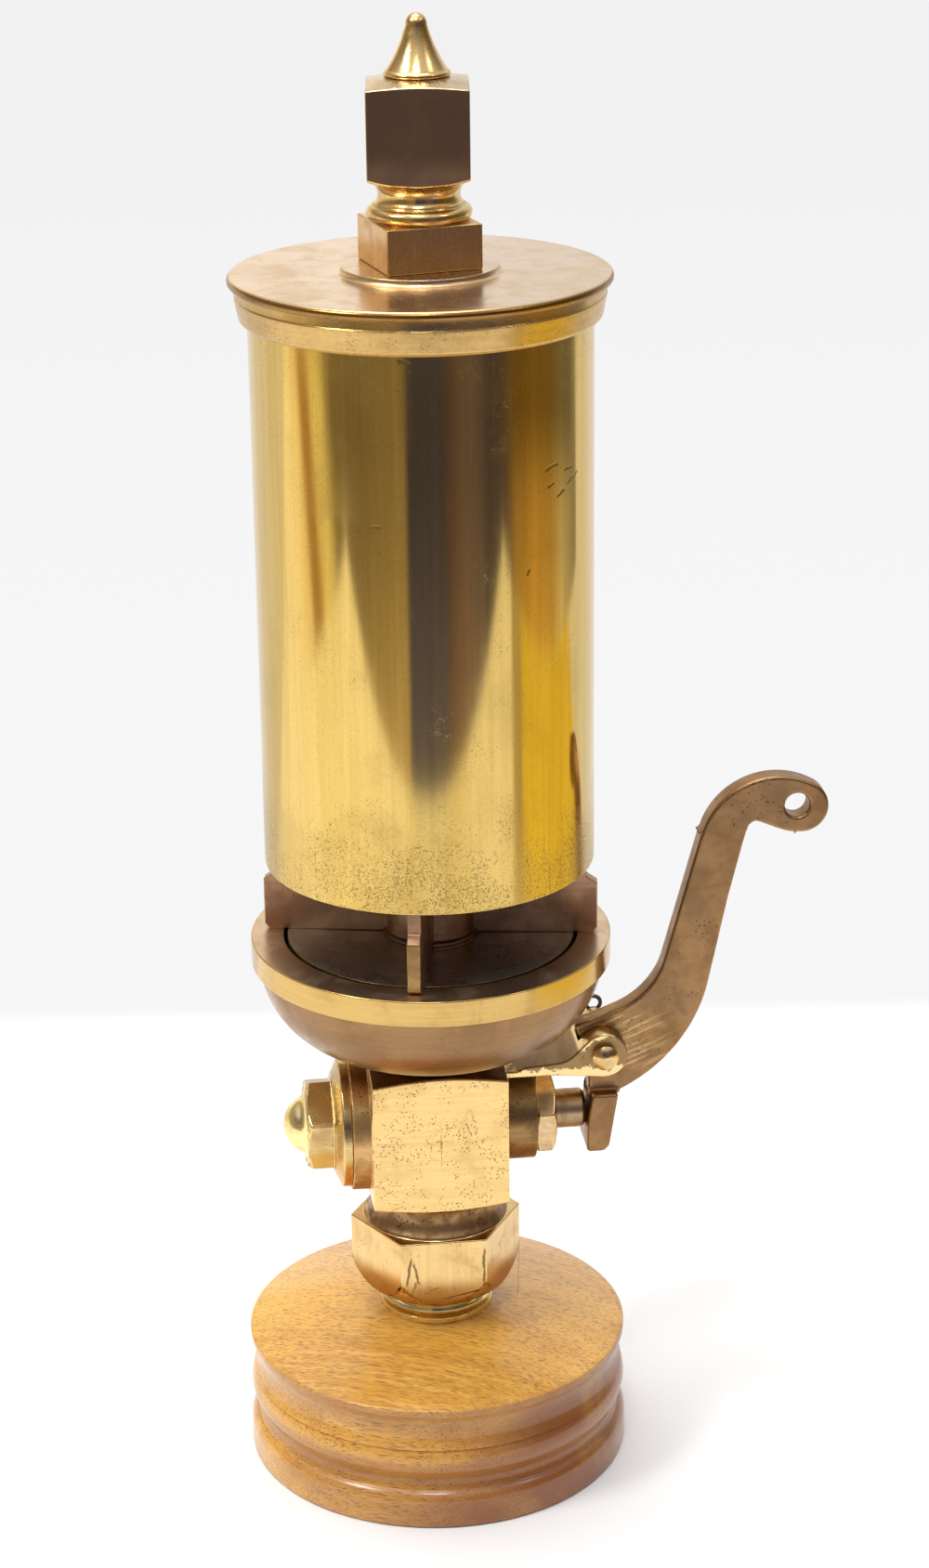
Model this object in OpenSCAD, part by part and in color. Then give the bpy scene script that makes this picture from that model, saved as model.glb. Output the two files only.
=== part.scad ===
// Four-chamber steam whistle with its lever valve, standing on a turned wooden base.
// Millimetres. The origin is the centre of the base's underside, +Z runs up the
// whistle's axis and the pull lever points along +X.

/* [Base] */
// Radius of the base at its widest, in the bottom band
base_r = 45.8; // [45:0.1:50]
// Height of the base at its top edge
base_edge_h = 31.3; // [28:0.1:36]
// Rise of the crowned top above its edge
base_crown = 5.5; // [4:0.1:7]

/* [Whistle] */
// Radius of the bell tube
bell_r = 38.1; // [37:0.1:40]
// Wall of the bell tube
bell_wall = 1.6; // [1.2:0.1:2.4]
// Height of the bell's open lip above the table
bell_lip_z = 152.9; // [150:0.1:156]
// Height of the cap's flat top above the table
cap_top_z = 289.3; // [280:0.1:300]
// Radius of the bowl's bright band
bowl_r = 42; // [41:0.1:44]
// Height of the bowl's rim
rim_z = 133.6; // [132:0.1:136]
// Width of the annular steam slot
slot_w = 0.8; // [0.5:0.1:1.5]
// Turn of the four dividing walls about the axis, in degrees
walls_turn = -11.8; // [-30:0.5:30]
// Thickness of the dividing walls
wall_t = 3.1; // [2:0.1:4]

/* [Valve] */
// Height of the valve's axis above the table
valve_z = 85.2; // [84:0.1:86]
// Width of the square valve block
block_w = 32.2; // [31:0.1:34]
// Width across the flats of the inlet hexagon
inlet_af = 35.5; // [34:0.1:38]
// Radius of the valve stem where it leaves the gland
stem_r = 4.7; // [4:0.1:5]
// Place of the stem's outer end, from the whistle's axis
stem_end_x = 36.2; // [35.5:0.1:36.5]
// Gap between the stem and the lever's toe at rest
toe_gap = 0.05; // [0.03:0.01:0.1]

/* [Lever] */
// Distance of the lever's pivot from the whistle's axis
pivot_x = 40; // [39.5:0.1:40.5]
// Height of the lever's pivot above the table
pivot_z = 102; // [101.5:0.1:102.5]
// Thickness of the lever
lever_t = 5.6; // [5:0.1:6.2]
// Radius of the pull eye
eye_r = 2.9; // [2.5:0.1:3.5]
// Gap between the lever and each ear of its bracket
side_gap = 0.35; // [0.3:0.05:0.5]

/* [Top fittings] */
// Width across the flats of the square locknut
locknut_af = 21.6; // [19:0.5:23]
// Width of the pedestal nut's cube
cube_w = 22.2; // [21:0.1:24]

/* [Hidden] */
$fn = 96;
e = 0.01;

bright_brass = [0.83, 0.66, 0.30];
pale_bronze = [0.80, 0.65, 0.42];
aged_bronze = [0.45, 0.34, 0.24];
cast_bronze = [0.55, 0.42, 0.28];

// Base and its mounting
base_edge_r = 45.5;
crown_r = (base_edge_r * base_edge_r + base_crown * base_crown) / (2 * base_crown);
flange_r = 13.5;
flange_h = 1.7;
flange_z = base_edge_h + 5.1;
spot_r = flange_r + 0.4;
stud_r = 4;
stud_z = [12, 50];
plug_r = 10.3;
plug_top_z = 55;

// Valve body
hex_z = [41, 60.6];
hex_r = inlet_af / sqrt(3);
block_top_z = valve_z + 17;
block_low_z = valve_z - 17.6;
shoulder_slope = 0.215;
body_spigot_r = 13.5;
body_spigot_top_z = 112;
bowl_seat_z = block_top_z + 0.8;
left_boss_x = -20.6;
left_boss_r = 16.2;
right_boss_x = 23.7;
right_boss_r = 11.3;

// Passages in the valve body
left_bore_r = 10.8;
left_bore_x = -2;
inlet_bore_r = plug_r + 0.05;
inlet_bore_top_z = 57;
inlet_way = [-8, 5];
outlet_way = [7.8, 4.6];
right_bore_r = 7;
right_bore_x = [3, 12.5];
packing_x = [14.5, 18];
packing_r = 7.4;
seat_r = 8.4;
seat_bore_r = 5.8;
seat_lip_x = -3.4;

// Moving valve parts
stem_run = 0.06;
stem_thin_r = 3;
stem_tail_r = 2.4;
stem_tail_x = -27.9;
washer_t = 2;
seat_gap = 0.05;
washer_x = seat_lip_x - seat_gap;
washer_r = 7.6;
disc_r = 8.2;
disc_back_x = washer_x - washer_t - 3;
disc_nut_af = 8;
disc_nut_t = 3;

// Bonnet on the left
gasket_t = 0.5;
flange_face_x = left_boss_x;
gasket_r = 13.2;
bonnet_flange_r = 15.3;
bonnet_hex_af = 20.4;
bonnet_hex_x = [-30.6, -24.4];
bonnet_hex_turn = 9;
bonnet_nose_x = -36.1;
bonnet_nose_r = 7.1;
bonnet_cove_r = 3.35;
bonnet_cove_x = -34;
bonnet_bore_r = 7.8;
bonnet_bore_x = -25.3;
bonnet_spigot_x = -14;
guide_end_x = -33.4;

// Valve spring
spring_wire_r = 0.6;
spring_r = 6.5;
spring_turns = 6;
spring_sides = 6;
spring_steps = 14;
spring_x = [disc_back_x, bonnet_bore_x];

// Gland nut on the right
gland_af = 18.5;
gland_x = [right_boss_x, 28.5];
gland_hex_turn = 13;

// Lever and its bracket
ear_r = 5.5;
ear_t = 4.9;
slot_half = lever_t / 2 + side_gap;
slot_x = 34.5;
ear_y = slot_half + ear_t;
bracket_low_z = 97.6;
pin_r = 2.2;
pin_run = 0.08;
pin_head_r = 3.05;
pin_head_h = 2.7;
pin_dome_h = 1.2;
pin_tail_y = ear_y + 3.6;
cotter_y = ear_y + 1.9;
cotter_wire_r = 0.5;
cotter_r = 0.85;
toe_half = 6.2;
toe_face_r = 60;
toe_face_z = 78;
toe_x = stem_end_x + toe_gap - 0.08;
toe_top_z = 90.8;
toe_low_z = 76.1;
eye_x = 86.2;
eye_z = 160.7;

// Bowl
band_h = 6.2;
cup_r = 40.2;
cup_arc_r = 21;
cup_arc_z = 128;
cup_wall = 3.6;
slot_r = 34.3;
rim_plate_h = 3;
bowl_neck_r = 15.5;
spider_r = 9;
spider_z = [115, 125];
spider_rib_t = 4;

// Bell, its walls and stops
languid_r = slot_r - slot_w;
languid_h = 5;
center_r = 5.5;
center_low_z = spider_z[0];
center_top_z = 319;
hub_r = 10.2;
hub_foot_r = 11.2;
hub_bell_r = 8.5;
fin_r = 38.9;
wall_turns = [3, 90, 180, 270, 363];
fin_shoulder_z = 146;
fin_top_z = 147.4;
cap_plate_h = 3.3;
cap_under_z = cap_top_z - cap_plate_h;
cap_skirt_z = 279.2;
cap_lip_r = 42.3;
cap_skirt_r = 40.9;
cap_boss_r = 17.4;
cap_boss_z = cap_top_z + 1.5;
wall_r = bell_r - bell_wall - 0.1;
bell_len = cap_under_z - bell_lip_z;
stop_t = 2;
stop_parts = [4 / 5, 2 / 3, 3 / 5];

// Top fittings
locknut_h = 10;
locknut_turn = 12.3;
locknut_z = cap_boss_z;
pedestal_z = locknut_z + locknut_h;
cube_turn = -6;
cube_low_z = pedestal_z + 8.6;
cube_top_z = pedestal_z + 29.8;
finial_z = cube_top_z + 0.8;
neck_r = 9;
neck_z = pedestal_z + 5.4;
neck_cove_r = 3.4;
bead_r = 1.6;
bead_max_r = 11.6;
finial_pin_r = 3;
finial_pin_h = 8;

// A solid turned about the whistle's axis.
module turned() {
    rotate_extrude() children();
}

// A cylinder lying along X, from x0 to x1 at the valve's height.
module along_x(x0, x1, r) {
    translate([x0, 0, valve_z])
        rotate([0, 90, 0])
            cylinder(h = x1 - x0, r = r);
}

// A profile in (x, radius) turned about the valve's axis.
module turned_on_x() {
    translate([0, 0, valve_z])
        rotate([0, 90, 0])
            rotate_extrude()
                rotate(-90)
                    mirror([1, 0])
                        children();
}

// A hexagonal prism along X, turned about its own axis.
module hex_on_x(x0, x1, af, turn) {
    translate([x0, 0, valve_z])
        rotate([0, 90, 0])
            rotate(turn)
                cylinder(h = x1 - x0, r = af / sqrt(3), $fn = 6);
}

// A flat profile in (x, z), made t thick about the plane y = 0.
module plate_xz(t) {
    translate([0, t / 2, 0])
        rotate([90, 0, 0])
            linear_extrude(t)
                children();
}

// A disc in the profile planes.
module dot(x, z, r) {
    translate([x, z])
        circle(r);
}

// A rectangle in the profile planes, by its corners.
module box_2d(x0, z0, x1, z1) {
    translate([x0, z0])
        square([x1 - x0, z1 - z0]);
}

// Base: crowned top, cove, bead, groove and rounded bottom band.
module base_profile() {
    core_r = 43.9;
    difference() {
        union() {
            intersection() {
                dot(0, base_edge_h + base_crown - crown_r, crown_r);
                box_2d(0, 20.4, base_edge_r, base_edge_h + base_crown + 1);
            }
            box_2d(0, 0, core_r, 22);
            dot(40.3, 17, 5.2);
            box_2d(0, 0, base_r - 1, 6.2);
            box_2d(0, 1, base_r, 6.2);
            dot(base_r - 1, 1, 1);
            dot(base_r - 3.4, 6.2, 3.4);
        }
        dot(50.5, 24.7, 7);
        dot(45.9, 11.2, 2.6);
        box_2d(-60, -1, 0, 60);
    }
}

module wooden_base() {
    color([0.76, 0.53, 0.25])
        difference() {
            turned() base_profile();
            translate([0, 0, flange_z])
                cylinder(h = 5, r = spot_r);
            translate([0, 0, stud_z[0]])
                cylinder(h = 40, r = stud_r);
        }
}

module mounting_stud() {
    color([0.55, 0.55, 0.57])
        translate([0, 0, stud_z[0]])
            cylinder(h = stud_z[1] - stud_z[0], r = stud_r);
}

// Flanged brass plug that stands the whistle on its base.
module mounting_spigot() {
    color(bright_brass)
        difference() {
            turned() {
                box_2d(0, flange_z, flange_r - 0.4, flange_z + flange_h);
                box_2d(0, flange_z + 0.4, flange_r, flange_z + flange_h - 0.4);
                dot(flange_r - 0.4, flange_z + 0.4, 0.4);
                dot(flange_r - 0.4, flange_z + flange_h - 0.4, 0.4);
                difference() {
                    box_2d(0, flange_z + 1, flange_r - 0.5, flange_z + 3);
                    dot(flange_r - 0.5, flange_z + 3.2, 1.7);
                }
                box_2d(0, flange_z + 3.5, 11.3, flange_z + 4.2);
                box_2d(0, flange_z + 1, plug_r, plug_top_z);
            }
            translate([0, 0, flange_z - 1])
                cylinder(h = stud_z[1] - flange_z + 1, r = stud_r);
        }
}

// Rounded underside and turned top of the inlet hexagon.
module hex_limit_profile() {
    arc_r = 10.3;
    intersection() {
        box_2d(0, hex_z[0], hex_r + 1, hex_z[1]);
        union() {
            box_2d(0, hex_z[0] + arc_r, hex_r + 1, hex_z[1]);
            box_2d(0, hex_z[0], hex_r - arc_r, hex_z[1]);
            dot(hex_r - arc_r, hex_z[0] + arc_r, arc_r);
        }
    }
}

// Shallow turned shoulders that arch the block's top and bottom edges.
module block_limit_profile() {
    reach = block_w * 0.8;
    half = block_w / 2;
    polygon([
        [0, block_low_z - shoulder_slope * half],
        [reach, block_low_z + shoulder_slope * (reach - half)],
        [reach, block_top_z - shoulder_slope * (reach - half)],
        [0, block_top_z + shoulder_slope * half]]);
}

// Side view of the bracket that carries the lever: ear, 45 degree neck, fillet, root.
module bracket_profile() {
    rise_x = pivot_x - ear_r * cos(45);
    rise_z = pivot_z + ear_r * sin(45);
    low_x = 32.7;
    fillet_r = 6;
    difference() {
        union() {
            dot(pivot_x, pivot_z, ear_r);
            polygon([
                [12, bracket_low_z], [27.5, bracket_low_z], [pivot_x - 0.5, pivot_z - ear_r + 0.02],
                [pivot_x, pivot_z], [rise_x, rise_z], [low_x, rise_z - rise_x + low_x],
                [low_x - 3.8, rise_z - rise_x + low_x - 1.74], [21, 100.1], [19, 99.2], [12, 99.2]]);
        }
        dot(low_x - 4.24, rise_z - rise_x + low_x + 4.24, fillet_r);
    }
}

module bracket() {
    difference() {
        plate_xz(2 * ear_y) bracket_profile();
        translate([slot_x, -slot_half, bracket_low_z - 5])
            cube([20, 2 * slot_half, 20]);
    }
}

// Casting with the inlet hexagon, the square block, both bosses and the bracket.
module valve_body() {
    color(cast_bronze)
        difference() {
            union() {
                intersection() {
                    translate([0, 0, hex_z[0]])
                        cylinder(h = hex_z[1] - hex_z[0], r = hex_r, $fn = 6);
                    turned() hex_limit_profile();
                }
                turned()
                    difference() {
                        box_2d(0, hex_z[1] - e, 17.2, block_low_z + 0.6);
                        dot(21.4, 65.4, 6);
                    }
                intersection() {
                    translate([-block_w / 2, -block_w / 2, block_low_z - 5])
                        cube([block_w, block_w, block_top_z - block_low_z + 10]);
                    turned() block_limit_profile();
                }
                translate([0, 0, block_top_z - 2])
                    cylinder(h = body_spigot_top_z - block_top_z + 2, r = body_spigot_r);
                along_x(left_boss_x, 0, left_boss_r);
                along_x(0, right_boss_x, right_boss_r);
                bracket();
            }
            body_passages();
            translate([pivot_x, 0, pivot_z])
                rotate([90, 0, 0])
                    cylinder(h = 40, r = pin_r, center = true);
        }
}

module body_passages() {
    translate([0, 0, hex_z[0] - 1])
        cylinder(h = inlet_bore_top_z - hex_z[0] + 1, r = inlet_bore_r);
    translate([inlet_way[0], 0, inlet_bore_top_z - 1])
        cylinder(h = valve_z - inlet_bore_top_z + 1, r = inlet_way[1]);
    translate([outlet_way[0], 0, valve_z])
        cylinder(h = body_spigot_top_z - valve_z + 1, r = outlet_way[1]);
    along_x(left_boss_x - 1, left_bore_x, left_bore_r);
    along_x(left_bore_x - 1, right_bore_x[0], seat_r);
    along_x(right_bore_x[0] - e, right_bore_x[1], right_bore_r);
    along_x(right_bore_x[1] - 1, packing_x[0] + 1, stem_r + stem_run);
    along_x(packing_x[0], right_boss_x + 1, packing_r);
}

// Ring that the valve washer closes on.
module valve_seat() {
    color(bright_brass)
        difference() {
            union() {
                along_x(left_bore_x, right_bore_x[0], seat_r);
                along_x(seat_lip_x, 0, seat_bore_r + 1);
            }
            along_x(seat_lip_x - 1, right_bore_x[0] + 1, seat_bore_r);
        }
}

// Stem: guide tail, thin part through the seat, and the thick part that the lever pushes.
module valve_stem() {
    color(cast_bronze) {
        along_x(stem_tail_x, washer_x - washer_t, stem_tail_r);
        along_x(washer_x - washer_t, 9, stem_thin_r);
        turned_on_x()
            polygon([
                [9, 0], [9, stem_thin_r], [10.5, stem_r], [stem_end_x - 0.9, stem_r],
                [stem_end_x, stem_r - 0.9], [stem_end_x, 0]]);
    }
}

// Holder that keeps the soft washer on the stem.
module valve_disc() {
    color(bright_brass)
        difference() {
            along_x(disc_back_x, washer_x - 0.8, disc_r);
            along_x(washer_x - washer_t, washer_x, washer_r);
            along_x(disc_back_x - 1, washer_x, stem_tail_r);
        }
}

module disc_washer() {
    color([0.25, 0.16, 0.12])
        difference() {
            along_x(washer_x - washer_t, washer_x, washer_r);
            along_x(washer_x - washer_t - 1, washer_x + 1, stem_thin_r);
        }
}

module disc_nut() {
    color(bright_brass)
        difference() {
            hex_on_x(disc_back_x - disc_nut_t, disc_back_x, disc_nut_af, 0);
            along_x(disc_back_x - disc_nut_t - 1, disc_back_x + 1, stem_tail_r);
        }
}

// Rings of a tube along a helix whose first and last turns lie flat.
function spring_pitch_part(u) =
    let(end = 0.9 / spring_turns, w = (u - end) / (1 - 2 * end))
    min(1, max(0, w));
function spring_point(u) =
    let(a = 360 * spring_turns * u,
        len = spring_x[0] - spring_x[1] - 2 * spring_wire_r - 0.04,
        coil_gap = 2 * spring_wire_r + 0.45,
        rise = coil_gap * (min(u, 0.9 / spring_turns) * spring_turns
            + max(0, u - 1 + 0.9 / spring_turns) * spring_turns)
            + (len - 1.8 * coil_gap) * spring_pitch_part(u))
    [spring_x[1] + spring_wire_r + 0.02 + rise, spring_r * cos(a), spring_r * sin(a)];
function unit(v) = v / norm(v);

module valve_spring() {
    count = spring_turns * spring_steps;
    points = [for (i = [0 : count])
        let(u = i / count, a = 360 * spring_turns * u,
            p = spring_point(u), radial = [0, cos(a), sin(a)])
        for (k = [0 : spring_sides - 1])
            let(b = 360 * k / spring_sides)
            p + spring_wire_r * (cos(b) * radial + sin(b) * [1, 0, 0])];
    sides = [for (i = [0 : count - 1], k = [0 : spring_sides - 1])
        let(n = (k + 1) % spring_sides, a = i * spring_sides, b = a + spring_sides)
        each [[a + k, b + k, b + n], [a + k, b + n, a + n]]];
    first = [for (k = [1 : spring_sides - 2]) [0, k, k + 1]];
    last = [for (k = [1 : spring_sides - 2])
        [count * spring_sides, count * spring_sides + k + 1, count * spring_sides + k]];
    color([0.6, 0.6, 0.55])
        translate([0, 0, valve_z])
            polyhedron(points, concat(sides, first, last));
}

// Profile of the bonnet's outside: domed nose, cove, bevelled flange and spigot.
module bonnet_outer_profile() {
    nose_x = bonnet_nose_x + bonnet_nose_r;
    reach = bonnet_nose_r + bonnet_cove_r;
    cove_x = bonnet_cove_x;
    cove_h = sqrt(reach * reach - (nose_x - cove_x) * (nose_x - cove_x));
    join_x = nose_x + (cove_x - nose_x) * bonnet_nose_r / reach;
    union() {
        dot(nose_x, 0, bonnet_nose_r);
        difference() {
            box_2d(join_x, 0, bonnet_hex_x[0] + 1, cove_h);
            dot(cove_x, cove_h, bonnet_cove_r);
        }
        polygon([
            [-29.5, 0], [-29.5, 9.4], [bonnet_hex_x[1] - e, 9.4], [bonnet_hex_x[1] - 0.1, 11.9],
            [bonnet_hex_x[1] + 0.5, 12.6], [flange_face_x - 2.4, 14.6],
            [flange_face_x - 2.1, bonnet_flange_r],
            [flange_face_x, bonnet_flange_r], [flange_face_x, 0]]);
        box_2d(flange_face_x - e, 0, bonnet_spigot_x, left_bore_r - 0.05);
    }
}

module bonnet() {
    color(bright_brass)
        difference() {
            union() {
                turned_on_x()
                    intersection() {
                        bonnet_outer_profile();
                        box_2d(-60, 0, 0, 40);
                    }
                intersection() {
                    hex_on_x(bonnet_hex_x[0], bonnet_hex_x[1] + 0.6, bonnet_hex_af, bonnet_hex_turn);
                    turned_on_x()
                        polygon([
                            [bonnet_hex_x[0], 0], [bonnet_hex_x[0], 10.4],
                            [bonnet_hex_x[0] + 0.7, 11.7], [bonnet_hex_x[1] + 2, 11.7],
                            [bonnet_hex_x[1] + 2, 0]]);
                }
            }
            difference() {
                along_x(flange_face_x - gasket_t, flange_face_x + 1, gasket_r);
                along_x(flange_face_x - 1, flange_face_x + 2, left_bore_r - 0.05);
            }
            along_x(bonnet_bore_x, bonnet_spigot_x + 1, bonnet_bore_r);
            along_x(guide_end_x, bonnet_bore_x + 1, stem_tail_r + stem_run);
        }
}

module bonnet_gasket() {
    color([0.35, 0.22, 0.16])
        difference() {
            along_x(flange_face_x - gasket_t, flange_face_x, gasket_r - 0.05);
            along_x(flange_face_x - 1, left_boss_x + 1, left_bore_r);
        }
}

module gland_nut() {
    ease = 0.8;
    color(pale_bronze)
        difference() {
            union() {
                intersection() {
                    hex_on_x(gland_x[0], gland_x[1], gland_af, gland_hex_turn);
                    turned_on_x()
                        polygon([
                            [gland_x[0], 0], [gland_x[0], gland_af / 2 + 0.2],
                            [gland_x[0] + ease, 12], [gland_x[1] - 2 * ease, 12],
                            [gland_x[1], gland_af / 2 - 0.3], [gland_x[1], 0]]);
                }
                along_x(packing_x[1], gland_x[0], packing_r);
            }
            along_x(packing_x[1] - 1, gland_x[1] + 1, stem_r + stem_run);
        }
}

module gland_packing() {
    color([0.85, 0.8, 0.7])
        difference() {
            along_x(packing_x[0], packing_x[1], packing_r);
            along_x(packing_x[0] - 1, packing_x[1] + 1, stem_r + stem_run);
        }
}

// Side view of the lever's blade: hook with its eye, straight arm, bend, hub and nose.
module lever_profile() {
    difference() {
        union() {
            hook_profile();
            // straight arm, its edges tangent to the bend and to the hook
            polygon([
                [55.23, 124.09], [63.6, 154.9], [72, 156], [73.6, 152.33], [70.15, 138.4],
                [65.65, 116.83], [54, 118]]);
            bend_profile();
            // hub and nose
            dot(pivot_x, pivot_z, 5.2);
            polygon([
                [33.6, 107.8], [38.3, 109], [41.4, 110.2], [43, 110.88], [48, 108], [46, 98],
                [37, 101], [35.3, 103.4], [35.2, 104.4], [34.2, 105.2]]);
            polygon([
                [37, 89.5], [43.8, 89.5], [45, 90.6], [48, 92.6], [46, 104], [37, 104]]);
        }
        dot(eye_x, eye_z, eye_r);
        dot(pivot_x, pivot_z, pin_r + pin_run);
    }
}

// Curved part between the hub and the straight arm.
module bend_profile() {
    difference() {
        intersection() {
            dot(28.03, 125.03, 38.5);
            polygon([[44.4, 88], [70, 88], [70, 116.83], [55.23, 124.09], [43, 113], [43, 100]]);
        }
        dot(37, 128.7, 18.8);
    }
}

// Hook at the top: one large arc over it, a round end, a sharp inner corner.
module hook_profile() {
    crown = [81.15, 150.0];
    crown_arc_r = 18.1;
    end = [87.5, 160.1];
    end_r = 6.2;
    union() {
        intersection() {
            dot(crown[0], crown[1], crown_arc_r);
            polygon([
                [60, 154.8], [60, 172], [90.8, 172], [90.8, 165.3], end, [86, 153.9],
                [83.9, 154.3], [81.4, 155.2], [77.4, 156.95], [76.1, 157.3], [74.9, 156.3],
                [74.2, 154.5], [73.6, 152.33]]);
        }
        dot(end[0], end[1], end_r);
    }
}

// Wedge below the pivot that bears on the stem, wider than the blade.
module toe() {
    plate_xz(2 * toe_half)
        intersection() {
            polygon([
                [30, toe_low_z], [40.3, toe_low_z - 0.2], [41.6, toe_low_z + 1.1],
                [43.8, toe_top_z], [30, toe_top_z]]);
            dot(toe_x + toe_face_r, toe_face_z, toe_face_r);
        }
}

module lever() {
    color(cast_bronze) {
        plate_xz(lever_t) lever_profile();
        toe();
    }
}

// Pin with a domed head at the front and a cross hole behind the rear ear.
module pivot_pin() {
    dome_r = (pin_head_r * pin_head_r + pin_dome_h * pin_dome_h) / (2 * pin_dome_h);
    color(pale_bronze)
        translate([pivot_x, 0, pivot_z])
            difference() {
                union() {
                    rotate([90, 0, 0])
                        translate([0, 0, -pin_tail_y])
                            cylinder(h = pin_tail_y + ear_y + e, r = pin_r);
                    intersection() {
                        translate([0, -ear_y - pin_head_h + dome_r, 0])
                            sphere(dome_r);
                        rotate([90, 0, 0])
                            translate([0, 0, ear_y])
                                cylinder(h = 5, r = pin_head_r);
                    }
                }
                translate([0, cotter_y, 0])
                    cylinder(h = 12, r = cotter_r, center = true);
            }
}

// Cotter pin: round eye on top, shank through the pin, legs bent apart below.
module cotter_pin() {
    eye_major = 1.75;
    leg_bend = 2.2;
    color([0.62, 0.6, 0.55])
        translate([pivot_x, cotter_y, pivot_z]) {
            translate([0, 0, pin_r + 3.6])
                rotate([90, 0, 0])
                    rotate_extrude()
                        translate([eye_major, 0])
                            circle(cotter_wire_r);
            translate([0, 0, -pin_r - 0.5])
                cylinder(h = 2 * pin_r + 2.8, r = cotter_r - 0.02);
            for (side = [-1, 1])
                translate([side * (leg_bend + 0.3), 0, -pin_r - 0.45])
                    rotate([90, 0, 0])
                        rotate(side > 0 ? 180 : 270)
                            rotate_extrude(angle = 90)
                                translate([leg_bend, 0])
                                    circle(cotter_wire_r);
        }
}

// Outside of the bowl: neck, rounded cup, bright band and flat rim.
module bowl_outer_profile() {
    cup_center_r = cup_r - cup_arc_r;
    intersection() {
        box_2d(0, bowl_seat_z, bowl_r, rim_z);
        union() {
            box_2d(0, bowl_seat_z, bowl_neck_r, 115);
            box_2d(0, cup_arc_z - cup_arc_r, cup_center_r, rim_z);
            dot(cup_center_r, cup_arc_z, cup_arc_r);
            box_2d(0, rim_z - band_h, bowl_r - 0.5, rim_z);
            box_2d(0, rim_z - band_h, bowl_r, rim_z - 0.5);
            dot(bowl_r - 0.5, rim_z - 0.5, 0.5);
        }
    }
}

module bowl_inner_profile() {
    cup_center_r = cup_r - cup_arc_r;
    inner_r = cup_arc_r - cup_wall;
    intersection() {
        box_2d(0, cup_arc_z - inner_r, cup_r, rim_z - rim_plate_h);
        union() {
            box_2d(0, cup_arc_z - inner_r, cup_center_r, rim_z);
            dot(cup_center_r, cup_arc_z, inner_r);
        }
    }
}

module bowl() {
    color(pale_bronze)
        difference() {
            turned()
                difference() {
                    bowl_outer_profile();
                    bowl_inner_profile();
                    box_2d(-1, rim_z - rim_plate_h - 1, slot_r, rim_z + 1);
                }
            translate([0, 0, bowl_seat_z - 1])
                cylinder(h = 20, r = body_spigot_r);
        }
}

// Hub on three ribs inside the bowl that carries the centre stem.
module stem_spider() {
    color(pale_bronze)
        difference() {
            intersection() {
                union() {
                    translate([0, 0, spider_z[0]])
                        cylinder(h = spider_z[1] - spider_z[0], r = spider_r);
                    for (k = [0 : 2])
                        rotate(90 + 120 * k)
                            translate([0, -spider_rib_t / 2, spider_z[0]])
                                cube([bowl_r, spider_rib_t, spider_z[1] - spider_z[0] - 3]);
                }
                turned()
                    bowl_inner_profile();
            }
            translate([0, 0, spider_z[0] - 1])
                cylinder(h = 20, r = center_r);
        }
}

// Plate inside the rim that leaves the thin steam slot all round.
module languid_disc() {
    color(aged_bronze)
        difference() {
            turned() {
                box_2d(0, rim_z - languid_h, languid_r - 2, rim_z);
                box_2d(0, rim_z - 2.4, languid_r, rim_z);
            }
            translate([0, 0, rim_z - languid_h - 1])
                cylinder(h = languid_h + 2, r = center_r);
        }
}

// Long rod that ties the bowl, the walls, the bell and the top fittings together.
module center_stem() {
    color(bright_brass)
        translate([0, 0, center_low_z])
            cylinder(h = center_top_z - center_low_z, r = center_r);
}

// Outline of one dividing wall: foot on the rim, shoulder below the lip, then up the bell.
module fin_profile() {
    difference() {
        polygon([
            [center_r + 1, rim_z], [fin_r - 1, rim_z], [fin_r, rim_z + 1.2],
            [fin_r, fin_shoulder_z], [wall_r + 0.4, fin_top_z], [wall_r, fin_top_z + 0.3],
            [wall_r, cap_under_z], [center_r + 1, cap_under_z]]);
        box_2d(-1, rim_z - 1, slot_r - 6, rim_z);
    }
}

module chamber_dividers() {
    color(aged_bronze)
        rotate(walls_turn)
            difference() {
                union() {
                    for (k = [0 : 3])
                        rotate(wall_turns[k])
                            plate_xz(wall_t) fin_profile();
                    turned()
                        difference() {
                            union() {
                                box_2d(0, rim_z, hub_r, fin_top_z);
                                box_2d(0, rim_z, hub_foot_r, rim_z + 1.8);
                                box_2d(0, fin_top_z - 1, hub_bell_r, cap_under_z);
                            }
                            dot(hub_foot_r, rim_z + 1.8, hub_foot_r - hub_r);
                        }
                }
                translate([0, 0, rim_z - 1])
                    cylinder(h = cap_under_z - rim_z + 2, r = center_r);
            }
}

// Plate that closes one chamber at a part of the bell's length.
module chamber_stop(index) {
    color(aged_bronze)
        rotate(walls_turn)
            translate([0, 0, bell_lip_z + bell_len * stop_parts[index - 1]])
                linear_extrude(stop_t)
                    difference() {
                        intersection() {
                            circle(wall_r);
                            rotate(wall_turns[index])
                                translate([-bell_r, wall_t / 2])
                                    square(2 * bell_r);
                            rotate(wall_turns[index + 1])
                                translate([-bell_r, -2 * bell_r - wall_t / 2])
                                    square(2 * bell_r);
                        }
                        circle(hub_bell_r);
                    }
}

module bell_tube() {
    color(bright_brass)
        turned()
            difference() {
                box_2d(bell_r - bell_wall, bell_lip_z, bell_r, cap_under_z);
                polygon([
                    [bell_r - bell_wall - e, bell_lip_z - e],
                    [bell_r - bell_wall + 0.7, bell_lip_z - e],
                    [bell_r - bell_wall - e, bell_lip_z + 2.5]]);
            }
}

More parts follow.
